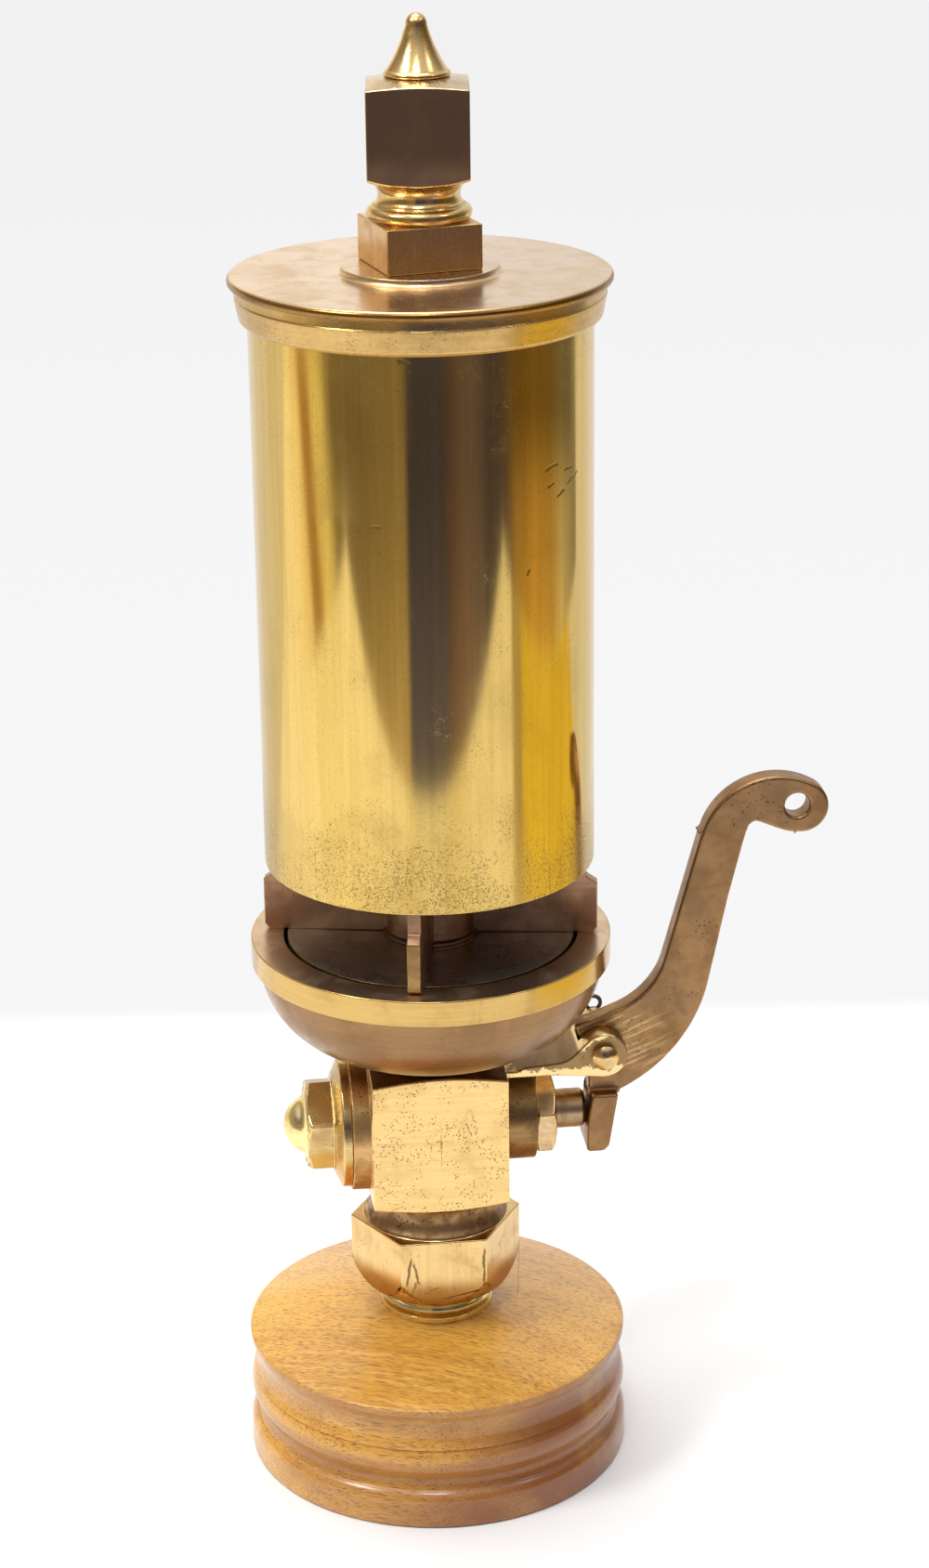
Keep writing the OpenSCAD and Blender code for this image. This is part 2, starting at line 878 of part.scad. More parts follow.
// Cap: skirt round the tube, cove, rounded lip and a low boss under the locknut.
module bell_cap() {
    lip_h = 2.2;
    color(pale_bronze)
        turned()
            difference() {
                union() {
                    box_2d(center_r, cap_under_z, cap_lip_r - lip_h / 2, cap_top_z);
                    dot(cap_lip_r - lip_h / 2, cap_top_z - lip_h / 2, lip_h / 2);
                    polygon([
                        [bell_r, cap_skirt_z], [cap_skirt_r - 1.8, cap_skirt_z],
                        [cap_skirt_r - 0.9, cap_skirt_z + 0.8], [cap_skirt_r, cap_skirt_z + 5.6],
                        [cap_skirt_r, cap_top_z - 1], [bell_r, cap_top_z - 1]]);
                    box_2d(center_r, cap_top_z - 1, cap_boss_r, cap_boss_z);
                    box_2d(center_r, cap_top_z - 1, cap_boss_r + 0.9, cap_top_z + 0.9);
                }
                dot(cap_boss_r + 1, cap_top_z + 1, 1);
                box_2d(cap_skirt_r - 0.3, cap_under_z - 1, cap_lip_r + 1, cap_top_z - lip_h);
                box_2d(0, cap_skirt_z - 1, bell_r, cap_under_z);
            }
}

module square_locknut() {
    color(aged_bronze)
        rotate(locknut_turn)
            translate([0, 0, locknut_z])
                difference() {
                    translate([-locknut_af / 2, -locknut_af / 2, 0])
                        cube([locknut_af, locknut_af, locknut_h]);
                    translate([0, 0, -1])
                        cylinder(h = locknut_h + 2, r = center_r);
                }
}

// Turned foot of the pedestal nut: bead, and the cove's lower half tangent to it.
module pedestal_foot_profile() {
    low_cove_r = 2.3;
    difference() {
        union() {
            box_2d(0, pedestal_z, bead_max_r - 1, pedestal_z + 3);
            box_2d(0, pedestal_z, bead_max_r - bead_r, neck_z);
            dot(bead_max_r - bead_r, pedestal_z + bead_r, bead_r);
        }
        dot(neck_r + low_cove_r, neck_z, low_cove_r);
    }
}

// Limits of the cube: the cove's upper half, then shoulders turned on the corners.
module pedestal_cube_profile() {
    half = cube_w / 2;
    difference() {
        polygon([
            [0, neck_z], [neck_r, neck_z], [neck_r + neck_cove_r, neck_z],
            [neck_r + neck_cove_r, neck_z + neck_cove_r - 0.02], [half * 1.5, cube_low_z + 1.9],
            [half * 1.5, cube_top_z - 0.9], [half * 0.95, cube_top_z],
            [7.8, finial_z], [0, finial_z]]);
        dot(neck_r + neck_cove_r, neck_z, neck_cove_r);
    }
}

module pedestal_nut() {
    color(aged_bronze)
        rotate(cube_turn)
            difference() {
                union() {
                    turned() pedestal_foot_profile();
                    intersection() {
                        translate([-cube_w / 2, -cube_w / 2, pedestal_z - 1])
                            cube([cube_w, cube_w, 40]);
                        turned() pedestal_cube_profile();
                    }
                }
                translate([0, 0, pedestal_z - 1])
                    cylinder(h = center_top_z - pedestal_z + 2, r = center_r);
                translate([0, 0, cube_top_z - finial_pin_h])
                    cylinder(h = finial_pin_h + 1, r = finial_pin_r);
            }
}

// Small bell-shaped finial with a thin foot bead and a rounded tip.
module finial() {
    flare_r = 32;
    tip_r = 2.35;
    tip_z = finial_z + 11;
    color(bright_brass) {
        turned() {
            difference() {
                union() {
                    box_2d(0, finial_z, 6.6, finial_z + 1.3);
                    dot(6.6, finial_z + 0.65, 0.65);
                    box_2d(0, finial_z + 0.65, 7.1, tip_z);
                }
                dot(33.24, finial_z + 19.25, flare_r);
            }
            intersection() {
                dot(0, tip_z, tip_r);
                box_2d(0, finial_z, tip_r, tip_z + tip_r);
            }
        }
        translate([0, 0, cube_top_z - finial_pin_h])
            cylinder(h = finial_pin_h + 1, r = finial_pin_r);
    }
}

wooden_base();
mounting_stud();
mounting_spigot();
valve_body();
valve_seat();
valve_stem();
valve_disc();
disc_washer();
disc_nut();
valve_spring();
bonnet();
bonnet_gasket();
gland_nut();
gland_packing();
lever();
pivot_pin();
cotter_pin();
bowl();
stem_spider();
languid_disc();
center_stem();
chamber_dividers();
chamber_stop(1);  // chamber_stop_1
chamber_stop(2);  // chamber_stop_2
chamber_stop(3);  // chamber_stop_3
bell_tube();
bell_cap();
square_locknut();
pedestal_nut();
finial();
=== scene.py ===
import math

import bmesh
import bpy
from mathutils import Euler, Matrix, Vector


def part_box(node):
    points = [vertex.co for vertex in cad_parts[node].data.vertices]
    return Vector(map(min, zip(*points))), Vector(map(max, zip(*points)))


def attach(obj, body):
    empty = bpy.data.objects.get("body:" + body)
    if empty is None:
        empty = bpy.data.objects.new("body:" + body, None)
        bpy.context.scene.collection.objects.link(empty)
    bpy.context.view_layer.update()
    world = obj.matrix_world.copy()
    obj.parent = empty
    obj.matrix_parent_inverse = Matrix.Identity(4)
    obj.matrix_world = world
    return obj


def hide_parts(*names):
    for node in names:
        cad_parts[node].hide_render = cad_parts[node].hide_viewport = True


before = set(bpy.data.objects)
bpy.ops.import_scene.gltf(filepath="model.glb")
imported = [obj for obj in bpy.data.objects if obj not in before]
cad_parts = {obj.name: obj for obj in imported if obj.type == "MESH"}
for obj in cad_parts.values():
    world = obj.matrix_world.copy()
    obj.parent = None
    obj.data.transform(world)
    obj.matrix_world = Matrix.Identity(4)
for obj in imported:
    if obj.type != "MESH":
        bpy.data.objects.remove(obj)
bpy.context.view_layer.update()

MM = 0.001


def low(node):
    """Lowest corner of a CAD node, in millimetres."""
    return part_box(node)[0] / MM


def high(node):
    """Highest corner of a CAD node, in millimetres."""
    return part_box(node)[1] / MM


# Sizes that several pieces share, in millimetres
BASE_R = high("wooden_base").x
BASE_TOP = high("wooden_base").z
BELL_R = high("bell_tube").x
BELL_LIP = low("bell_tube").z
BELL_TOP = high("bell_tube").z
CAP_R = high("bell_cap").x
CAP_BOSS_TOP = high("bell_cap").z
CAP_SKIRT = low("bell_cap").z
RIM_Z = high("bowl").z
BOWL_R = high("bowl").x
LANGUID_R = high("languid_disc").x
STEM_R = (high("center_stem").x - low("center_stem").x) / 2
VALVE_Z = (low("valve_stem").z + high("valve_stem").z) / 2
PIVOT_X = (low("pivot_pin").x + high("pivot_pin").x) / 2
PIVOT_Z = (low("pivot_pin").z + high("pivot_pin").z) / 2
FINIAL_Z = high("pedestal_nut").z
BAND_Z = RIM_Z - 6.2
BLOCK_HALF = 16.3
BLOCK_LOW = VALVE_Z - 18
BLOCK_HIGH = VALVE_Z + 17.4
BRACKET_Z = VALVE_Z + 10.8
HEX_TOP = 60.8
NOSE_X = low("bonnet").x + 5.6
CUBE_LOW = low("pedestal_nut").z + 9.4
FIN_R = 38

# Steps and limits for the meshes, lengths in millimetres and angles in degrees
TURN_STEPS = 180
EASE_STEPS = 3
EASE_LEAST_TURN = 22
BEVEL_STEPS = 3
SHARP_TURN = 32
FLAT_TURN = 0.3
SMOOTH_TURN = 40
WELD = 0.002
ON_AXIS = 1e-6


# Outlines

def arc(centre, radius, start, stop, steps):
    """Points on an arc in an outline's plane, angles in degrees."""
    points = []
    for i in range(steps + 1):
        a = math.radians(start + (stop - start) * i / steps)
        points.append((centre[0] + radius * math.cos(a), centre[1] + radius * math.sin(a)))
    return points


def eased(points, radius):
    """The same closed outline with every sharp corner rounded by up to radius."""
    result = []
    count = len(points)
    for i, here in enumerate(points):
        here = Vector(here)
        before = Vector(points[i - 1]) - here
        after = Vector(points[(i + 1) % count]) - here
        shortest = min(before.length, after.length)
        if here.x < ON_AXIS or shortest < ON_AXIS:
            result.append(tuple(here))
            continue
        if 180 - math.degrees(before.angle(after)) < EASE_LEAST_TURN:
            result.append(tuple(here))
            continue
        reach = min(radius, shortest * 0.45)
        first = here + before.normalized() * reach
        last = here + after.normalized() * reach
        for k in range(EASE_STEPS + 1):
            t = k / EASE_STEPS
            result.append(tuple(first * (1 - t) ** 2 + here * 2 * t * (1 - t) + last * t ** 2))
    return result


# Meshes

def turned(outline):
    """A closed solid turned about the Z axis from its outline of (radius, height) points."""
    bm = bmesh.new()
    rings = []
    for radius, height in outline:
        count = 1 if radius < ON_AXIS else TURN_STEPS
        ring = []
        for k in range(count):
            a = 2 * math.pi * k / TURN_STEPS
            point = Vector((radius * math.cos(a), radius * math.sin(a), height))
            ring.append(bm.verts.new(point * MM))
        rings.append(ring)
    for i, ring in enumerate(rings):
        join_rings(bm, ring, rings[(i + 1) % len(rings)])
    bmesh.ops.recalc_face_normals(bm, faces=bm.faces)
    return bm


def join_rings(bm, ring, other):
    """Faces between two neighbouring rings, either of which may be a single point."""
    if len(ring) == 1 and len(other) == 1:
        return
    for k in range(TURN_STEPS):
        n = (k + 1) % TURN_STEPS
        if len(ring) == 1:
            bm.faces.new((ring[0], other[n], other[k]))
        elif len(other) == 1:
            bm.faces.new((ring[k], ring[n], other[0]))
        else:
            bm.faces.new((ring[k], ring[n], other[n], other[k]))


def from_valve_axis(point):
    """Distance of a mesh point from the valve's axis, in millimetres."""
    return math.hypot(point.y / MM, point.z / MM - VALVE_Z)


def softened(node, width, merge=0.02, cuts=(), bore=0):
    """A merged copy of a CAD node, its sharp edges rounded into faces of the second material.

    Edges shorter than merge go first. Edges nearer than bore to the valve's axis stay sharp.
    Cuts are places along X where faces are divided last.
    """
    bm = bmesh.new()
    bm.from_mesh(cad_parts[node].data)
    bmesh.ops.remove_doubles(bm, verts=bm.verts, dist=WELD * MM)
    bmesh.ops.dissolve_limit(
        bm, angle_limit=math.radians(FLAT_TURN), verts=bm.verts, edges=bm.edges,
        delimit={"NORMAL"})
    bmesh.ops.dissolve_degenerate(bm, dist=merge * MM, edges=bm.edges)
    for face in bm.faces:
        face.material_index = 0
    sharp = [
        e for e in bm.edges
        if len(e.link_faces) == 2 and e.calc_face_angle(0) > math.radians(SHARP_TURN)
        and from_valve_axis(e.verts[0].co) >= bore]
    bmesh.ops.bevel(
        bm, geom=sharp, offset=width * MM, offset_type="OFFSET", segments=BEVEL_STEPS,
        profile=0.5, affect="EDGES", clamp_overlap=False, miter_outer="SHARP", material=1)
    bmesh.ops.remove_doubles(bm, verts=bm.verts, dist=WELD * MM)
    for place in cuts:
        everything = [*bm.verts, *bm.edges, *bm.faces]
        bmesh.ops.bisect_plane(
            bm, geom=everything, dist=1e-7, plane_co=(place * MM, 0, 0), plane_no=(1, 0, 0))
    return bm


def piece(name, bm, body, materials, node, rule=None):
    """Makes the object for a mesh, ties it to its body and hides its CAD node.

    The rule picks each face's material from its middle, its normal and its first index.
    """
    bm.normal_update()
    for face in bm.faces:
        index = face.material_index if len(materials) > 1 else 0
        if rule:
            index = rule(face.calc_center_median() / MM, face.normal, face.material_index)
        face.material_index = index
    mesh = bpy.data.meshes.new(name)
    for material in materials:
        mesh.materials.append(material)
    bm.to_mesh(mesh)
    bm.free()
    mesh.shade_smooth()
    mesh.set_sharp_from_angle(angle=math.radians(SMOOTH_TURN))
    obj = bpy.data.objects.new(name, mesh)
    bpy.context.collection.objects.link(obj)
    weighted = obj.modifiers.new("even normals", "WEIGHTED_NORMAL")
    weighted.mode = "FACE_AREA_WITH_ANGLE"
    weighted.keep_sharp = True
    bpy.context.view_layer.update()
    finished = bpy.data.meshes.new_from_object(
        obj.evaluated_get(bpy.context.evaluated_depsgraph_get()))
    obj.modifiers.clear()
    obj.data = finished
    bpy.data.meshes.remove(mesh)
    finished.name = name
    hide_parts(node)
    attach(obj, body)
    return obj


# Shader node trees

def rgba(colour):
    """A colour of three numbers gets its fourth, anything else passes."""
    if isinstance(colour, tuple) and len(colour) == 3:
        return (*colour, 1.0)
    return colour


def darker(colour, factor):
    """A colour multiplied by a factor."""
    return tuple(factor * c for c in colour)


class Nodes:
    """Short calls for the few shader nodes that the finishes use."""

    def __init__(self, tree):
        self.tree = tree

    def add(self, kind, **settings):
        node = self.tree.nodes.new(kind)
        for key, value in settings.items():
            setattr(node, key, value)
        return node

    def join(self, source, target):
        self.tree.links.new(source, target)

    def set(self, socket, value):
        if isinstance(value, bpy.types.NodeSocket):
            self.join(value, socket)
        else:
            socket.default_value = value

    def place(self):
        """The place on the part, in metres."""
        return self.add("ShaderNodeTexCoord").outputs["Object"]

    def split(self, vector):
        node = self.add("ShaderNodeSeparateXYZ")
        self.join(vector, node.inputs[0])
        return node.outputs

    def stretched(self, vector, scale):
        node = self.add("ShaderNodeMapping")
        self.join(vector, node.inputs["Vector"])
        node.inputs["Scale"].default_value = scale
        return node.outputs["Vector"]

    def turned(self, vector, axis, angle):
        """A vector turned about an axis, the angle in radians."""
        node = self.add("ShaderNodeVectorRotate", rotation_type=axis + "_AXIS")
        self.join(vector, node.inputs["Vector"])
        self.set(node.inputs["Angle"], angle)
        return node.outputs["Vector"]

    def noise(self, vector, scale, detail=4.0, rough=0.55, distortion=0.0):
        node = self.add("ShaderNodeTexNoise")
        self.join(vector, node.inputs["Vector"])
        self.set(node.inputs["Scale"], scale)
        node.inputs["Detail"].default_value = detail
        node.inputs["Roughness"].default_value = rough
        node.inputs["Distortion"].default_value = distortion
        return node.outputs["Fac"]

    def cells(self, vector, scale):
        """Distance to the nearest of many scattered points."""
        node = self.add("ShaderNodeTexVoronoi", feature="F1")
        self.join(vector, node.inputs["Vector"])
        self.set(node.inputs["Scale"], scale)
        return node.outputs["Distance"]

    def math(self, operation, a, b=0.0, clamp=False):
        node = self.add("ShaderNodeMath", operation=operation, use_clamp=clamp)
        self.set(node.inputs[0], a)
        self.set(node.inputs[1], b)
        return node.outputs[0]

    def plus(self, a, b):
        return self.math("ADD", a, b)

    def minus(self, a, b):
        return self.math("SUBTRACT", a, b)

    def times(self, a, b):
        return self.math("MULTIPLY", a, b)

    def most(self, a, b):
        return self.math("MAXIMUM", a, b)

    def range(self, value, start, stop, low=0.0, high=1.0):
        """A value's smooth step from low at start to high at stop."""
        node = self.add("ShaderNodeMapRange", interpolation_type="SMOOTHSTEP")
        for socket, v in zip(node.inputs, (value, start, stop, low, high)):
            self.set(socket, v)
        return node.outputs["Result"]

    def inside(self, value, start, stop, blur):
        """1 where a value lies between two limits, 0 outside them."""
        rise = self.range(value, start - blur, start + blur)
        fall = self.range(value, stop + blur, stop - blur)
        return self.times(rise, fall)

    def mix(self, factor, a, b):
        """Mix of two colours."""
        node = self.add("ShaderNodeMix", data_type="RGBA")
        self.set(node.inputs["Factor"], factor)
        self.set(node.inputs["A"], rgba(a))
        self.set(node.inputs["B"], rgba(b))
        return node.outputs["Result"]

    def blend(self, factor, a, b):
        """Mix of two shaders."""
        node = self.add("ShaderNodeMixShader")
        for socket, source in zip(node.inputs, (factor, a, b)):
            self.join(source, socket)
        return node.outputs[0]

    def bump(self, height, strength, distance):
        """Relief, its distance in millimetres."""
        node = self.add("ShaderNodeBump")
        self.join(height, node.inputs["Height"])
        node.inputs["Strength"].default_value = strength
        node.inputs["Distance"].default_value = distance * MM
        return node.outputs["Normal"]


def new_group(name, inputs, output):
    """An empty shader group with float inputs (name, default) and one named float output."""
    tree = bpy.data.node_groups.new(name, "ShaderNodeTree")
    for label, default in inputs:
        socket = tree.interface.new_socket(label, in_out="INPUT", socket_type="NodeSocketFloat")
        socket.default_value = default
    tree.interface.new_socket(output, in_out="OUTPUT", socket_type="NodeSocketFloat")
    nodes = Nodes(tree)
    return nodes, nodes.add("NodeGroupInput").outputs, nodes.add("NodeGroupOutput").inputs[output]


def use_group(nodes, tree, **values):
    """Puts a group into a tree, with values for its inputs, and gives its one output."""
    node = nodes.add("ShaderNodeGroup", node_tree=tree)
    for key, value in values.items():
        nodes.set(node.inputs[key], value)
    return node.outputs[0]


def clouds_group():
    """Soft cloudy patches of tarnish."""
    inputs = [("Scale", 60.0), ("Low", 0.4), ("High", 0.65)]
    n, given, out = new_group("tarnish clouds", inputs, "Mask")
    cloud = n.noise(n.place(), given["Scale"], detail=6, rough=0.6, distortion=0.4)
    n.join(n.range(cloud, given["Low"], given["High"]), out)
    return n.tree


def pits_group():
    """Small dark pits in clusters."""
    n, given, out = new_group("pits", [("Scale", 900.0), ("Size", 0.3), ("Cover", 0.5)], "Mask")
    place = n.place()
    dots = n.cells(place, given["Scale"])
    spot = n.range(dots, given["Size"], n.times(given["Size"], 0.45))
    cluster = n.noise(place, n.times(given["Scale"], 0.12), detail=5, rough=0.65)
    here = n.range(cluster, given["Cover"], n.plus(given["Cover"], 0.1))
    n.join(n.times(spot, here), out)
    return n.tree


def brushing_group():
    """Fine parallel lines along X, or turned from it, as filing or polishing leaves them."""
    n, given, out = new_group("brushed lines", [("Scale", 40.0), ("Turn", 0.0)], "Lines")
    place = n.stretched(n.turned(n.place(), "Y", given["Turn"]), (1.0, 1.0, 28.0))
    n.join(n.noise(place, given["Scale"], detail=5, rough=0.7), out)
    return n.tree


CLOUDS = clouds_group()
PITS = pits_group()
BRUSHING = brushing_group()


# Kinds of finish, lengths in metres unless MM stands beside them

def new_material(name):
    material = bpy.data.materials.new(name)
    material.use_nodes = True
    nodes = Nodes(material.node_tree)
    shader = material.node_tree.nodes["Principled BSDF"]
    return material, nodes, shader.inputs


STROKE_WIDTH = 0.85
STROKE_WOBBLE = 1.5


def strokes(n, across, up, marks):
    """Thin wavering marks on a flat pattern, each mark (across, up, length, turn)."""
    wobble = n.times(n.minus(n.noise(n.place(), 500), 0.5), STROKE_WOBBLE * MM)
    across, up = n.plus(across, wobble), n.plus(up, wobble)
    total = 0.0
    for x, z, length, turn in marks:
        c, s = math.cos(math.radians(turn)), math.sin(math.radians(turn))
        dx, dz = n.minus(across, x * MM), n.minus(up, z * MM)
        along = n.plus(n.times(dx, c), n.times(dz, s))
        aside = n.minus(n.times(dz, c), n.times(dx, s))
        end = n.range(n.math("ABSOLUTE", along), length * MM / 2, length * MM / 3)
        side = n.range(
            n.math("ABSOLUTE", aside), STROKE_WIDTH * MM / 2, STROKE_WIDTH * MM / 5)
        total = n.most(total, n.times(end, side))
    return total


def metal(name, clean, aged, rough, aged_rough, clouds, pits,
          lines=(40, 0.0), relief=0.04, fade=None, marks=None):
    """Brass or bronze with tarnish clouds, dark pits and fine lines, all from the part's place.

    Clouds are scale, low and high limit. Pits are scale, size, cover and strength.
    Lines are scale and turn. A fade is two heights in millimetres and the colour that the
    metal turns to between them. Marks are dark scratches seen from the front.
    """
    material, n, shader = new_material(name)
    tarnish = use_group(n, CLOUDS, Scale=clouds[0], Low=clouds[1], High=clouds[2])
    pit = use_group(n, PITS, Scale=pits[0], Size=pits[1], Cover=pits[2])
    line = use_group(n, BRUSHING, Scale=lines[0], Turn=lines[1]) if lines else 0.5
    colour = n.mix(tarnish, clean, aged)
    colour = n.mix(n.range(line, 0.35, 0.65, 0.0, 0.25), colour, darker(aged, 0.8))
    if marks:
        axes = n.split(n.place())
        cut = strokes(n, axes["X"], axes["Z"], marks)
        colour = n.mix(n.times(cut, 0.9), colour, darker(aged, 0.25))
    if fade:
        start, stop, faded = fade
        height = n.split(n.place())["Z"]
        colour = n.mix(n.range(height, start * MM, stop * MM, 0, 0.85), colour, faded)
    n.join(n.mix(n.times(pit, pits[3]), colour, darker(aged, 0.2)), shader["Base Color"])
    shader["Metallic"].default_value = 1.0
    surface = n.range(tarnish, 0, 1, rough, aged_rough)
    grain = n.range(line, 0.3, 0.7, -0.04, 0.04)
    n.join(n.math("ADD", surface, grain, clamp=True), shader["Roughness"])
    depth = n.minus(n.times(line, relief), n.times(pit, 0.5))
    n.join(n.bump(depth, 0.5, 0.1), shader["Normal"])
    return material


TUBE_CLEAN = (0.76, 0.53, 0.17)
TUBE_WARM = (0.68, 0.46, 0.122)
TUBE_DULL = (0.50, 0.33, 0.095)
TUBE_DIRT = (0.12, 0.075, 0.03)
LIP_BAND = (BELL_LIP + 34, BELL_LIP + 2)
# The band under the cap is a painted shadow of the cap
CAP_SHADE_BAND = (CAP_SKIRT - 16, CAP_SKIRT)

# Marks on the tube: place round it and height in millimetres, length, turn in degrees
TUBE_MARKS = [
    (27, BELL_LIP + 99, 5, 8), (33, BELL_LIP + 97.5, 4, 4), (34.5, BELL_LIP + 95, 5, 22),
    (30, BELL_LIP + 92.5, 3.5, 18), (26.5, BELL_LIP + 95, 2.5, 12), (-14.5, BELL_LIP + 89, 3, 8),
    (-8, BELL_LIP + 125, 3.5, -12), (20, BELL_LIP + 77, 2, 60)]


def tube_band(n, height):
    """Where the tube is dull and grainy: above its lip and, less so, under the cap, where the
    darkening is a painted shadow of the cap.
    """
    low_band = n.range(height, LIP_BAND[0] * MM, LIP_BAND[1] * MM)
    # Painted shadow of the cap, weaker than the dull band at the lip
    cap_shade = n.range(height, CAP_SHADE_BAND[0] * MM, CAP_SHADE_BAND[1] * MM)
    return n.most(low_band, n.times(cap_shade, 0.45))


def tube_dirt(n, place, fine, band):
    """Specks in clusters, crumbs of tarnish, and the tube's few scratches."""
    # Under the cap the band's extra specks and crumbs are painted shade
    spread = n.plus(n.noise(place, 90, detail=5, rough=0.7), n.times(band, 0.16))
    spot = n.range(n.cells(place, 1900), 0.34, 0.14)
    spot = n.times(spot, n.range(spread, 0.56, 0.72))
    crumb = n.range(n.plus(fine, n.times(band, 0.09)), 0.62, 0.69)
    crumb = n.times(crumb, n.range(spread, 0.50, 0.66))
    axes = n.split(place)
    angle = n.math("ARCTAN2", axes["X"], n.times(axes["Y"], -1))
    scratch = strokes(n, n.times(angle, BELL_R * MM), axes["Z"], TUBE_MARKS)
    return n.most(n.most(spot, n.times(crumb, 0.8)), n.times(scratch, 1.4))


def tube_metal(name):
    """Polished tube: upright streaks, dark specks, and a grainy band at its lower edge."""
    material, n, shader = new_material(name)
    place = n.place()
    band = tube_band(n, n.split(place)["Z"])
    streak = n.noise(n.stretched(place, (1, 1, 0.035)), 120, detail=5, rough=0.65)
    hair = n.noise(n.stretched(place, (1, 1, 0.02)), 900, detail=3, rough=0.6)
    cloud = n.noise(place, 38, detail=6, rough=0.6)
    fine = n.noise(place, 1900, detail=3, rough=0.8)
    # The band darkens the tube: real dullness above the lip, painted cap shadow under the cap
    stain = n.range(n.plus(cloud, n.times(band, 0.12)), 0.5, 0.72)
    dirt = tube_dirt(n, place, fine, band)
    colour = n.mix(n.range(streak, 0.38, 0.64), TUBE_CLEAN, TUBE_WARM)
    colour = n.mix(n.range(hair, 0.4, 0.7, 0, 0.25), colour, TUBE_DULL)
    colour = n.mix(n.times(stain, 0.35), colour, TUBE_DULL)
    colour = n.mix(n.range(fine, 0.5, 0.75, 0, 0.28), colour, TUBE_DIRT)
    n.join(n.mix(n.times(dirt, 0.55), colour, TUBE_DIRT), shader["Base Color"])
    shader["Metallic"].default_value = 1.0
    rough = n.plus(n.range(stain, 0, 1, 0.085, 0.14), n.times(band, 0.08))
    n.join(n.math("ADD", rough, n.times(dirt, 0.2), clamp=True), shader["Roughness"])
    grain = n.times(fine, n.range(band, 0, 1, 0.03, 0.3))
    relief = n.minus(n.plus(n.times(hair, 0.05), grain), n.times(dirt, 0.2))
    n.join(n.bump(relief, 0.4, 0.1), shader["Normal"])
    return material


def from_pin(n, place):
    """Distances from the lever's pin: across, up and straight."""
    axes = n.split(place)
    across = n.minus(axes["X"], PIVOT_X * MM)
    up = n.minus(axes["Z"], PIVOT_Z * MM)
    reach = n.math("SQRT", n.plus(n.times(across, across), n.times(up, up)))
    return across, up, reach


EAR_LIGHT = (0.44, 0.29, 0.128)
EAR_DARK = (0.29, 0.18, 0.082)
EAR_WORN = (0.90, 0.66, 0.31)
EAR_SPECK = (0.05, 0.03, 0.015)


def ear_metal(name):
    """Brown bracket, worn bright in a chipped crescent round the pin and along its lower edge."""
    material, n, shader = new_material(name)
    place = n.place()
    across, up, reach = from_pin(n, place)
    chip = n.times(n.minus(n.noise(place, 420, detail=4, rough=0.65), 0.5), 4 * MM)
    ring = n.inside(n.plus(reach, chip), 4.7 * MM, 6.8 * MM, 0.2 * MM)
    upper = n.times(n.range(up, 1.2 * MM, 2.0 * MM), n.range(across, 2.8 * MM, 2.0 * MM))
    sill = n.range(n.plus(up, n.times(chip, 1.6)), -2.7 * MM, -3.1 * MM)
    bright = n.most(n.times(ring, upper), sill)
    speck = n.range(n.cells(place, 1100), 0.3, 0.14)
    speck = n.times(speck, n.range(n.noise(place, 240, detail=3), 0.5, 0.6))
    tone = n.mix(n.noise(place, 260, detail=5), EAR_LIGHT, EAR_DARK)
    tone = n.mix(bright, tone, EAR_WORN)
    n.join(n.mix(n.times(speck, 0.9), tone, EAR_SPECK), shader["Base Color"])
    shader["Metallic"].default_value = 1.0
    n.join(n.range(bright, 0, 1, 0.42, 0.24), shader["Roughness"])
    relief = n.minus(n.noise(place, 500, detail=4), speck)
    n.join(n.bump(relief, 0.35, 0.15), shader["Normal"])
    return material


LEVER_LIGHT = (0.395, 0.22, 0.094)
LEVER_DARK = (0.30, 0.162, 0.07)
LEVER_OLIVE = (0.31, 0.195, 0.105)
LEVER_FILED = (0.74, 0.50, 0.22)
LEVER_PIT = (0.07, 0.045, 0.03)
FILE_TURN = math.radians(24)


def lever_metal(name):
    """Cast lever: mottled brown, filed bright in slanting strokes beside the bracket."""
    material, n, shader = new_material(name)
    place = n.place()
    _, up, reach = from_pin(n, place)
    slanted = n.stretched(n.turned(place, "Y", FILE_TURN), (0.12, 1, 1.6))
    filed = n.times(
        n.range(reach, 21 * MM, 10 * MM), n.inside(up, -6 * MM, 9 * MM, 2 * MM))
    filed = n.times(filed, n.range(n.noise(slanted, 620, detail=3, rough=0.6), 0.46, 0.62))
    mottle = n.noise(place, 160, detail=7, rough=0.68)
    broad = n.noise(place, 45, detail=5, rough=0.55)
    pit = use_group(n, PITS, Scale=950.0, Size=0.3, Cover=0.5)
    tone = n.mix(n.range(mottle, 0.36, 0.64), LEVER_LIGHT, LEVER_DARK)
    tone = n.mix(n.range(broad, 0.42, 0.62, 0, 0.5), tone, LEVER_OLIVE)
    tone = n.mix(n.times(filed, 0.7), tone, LEVER_FILED)
    n.join(n.mix(n.times(pit, 0.7), tone, LEVER_PIT), shader["Base Color"])
    shader["Metallic"].default_value = 1.0
    n.join(n.range(mottle, 0.3, 0.7, 0.34, 0.48), shader["Roughness"])
    relief = n.minus(n.times(mottle, 0.4), n.plus(pit, n.times(filed, 0.3)))
    n.join(n.bump(relief, 0.3, 0.1), shader["Normal"])
    return material


HONEY_LIGHT = (0.86, 0.44, 0.066)
HONEY_DEEP = (0.66, 0.31, 0.036)
HONEY_STREAK = (0.92, 0.53, 0.13)
# Painted shade on the base's sides: SIDE_FIGURE_AND_SHADE darkens them to the right and lower
# down, mixed with random tone, and SIDE_SHADE_BROWN browns them, most under the bead
SIDE_FIGURE_AND_SHADE = (0.26, 0.07, 0.008)
SIDE_SHADE_BROWN = (0.41, 0.14, 0.012)
PORE = (0.15, 0.05, 0.012)
GRAIN_TURN = math.radians(24)
SIDE_Z = (31.8, 30.4)
BEAD_SHADE_Z = (10.0, 17.0)


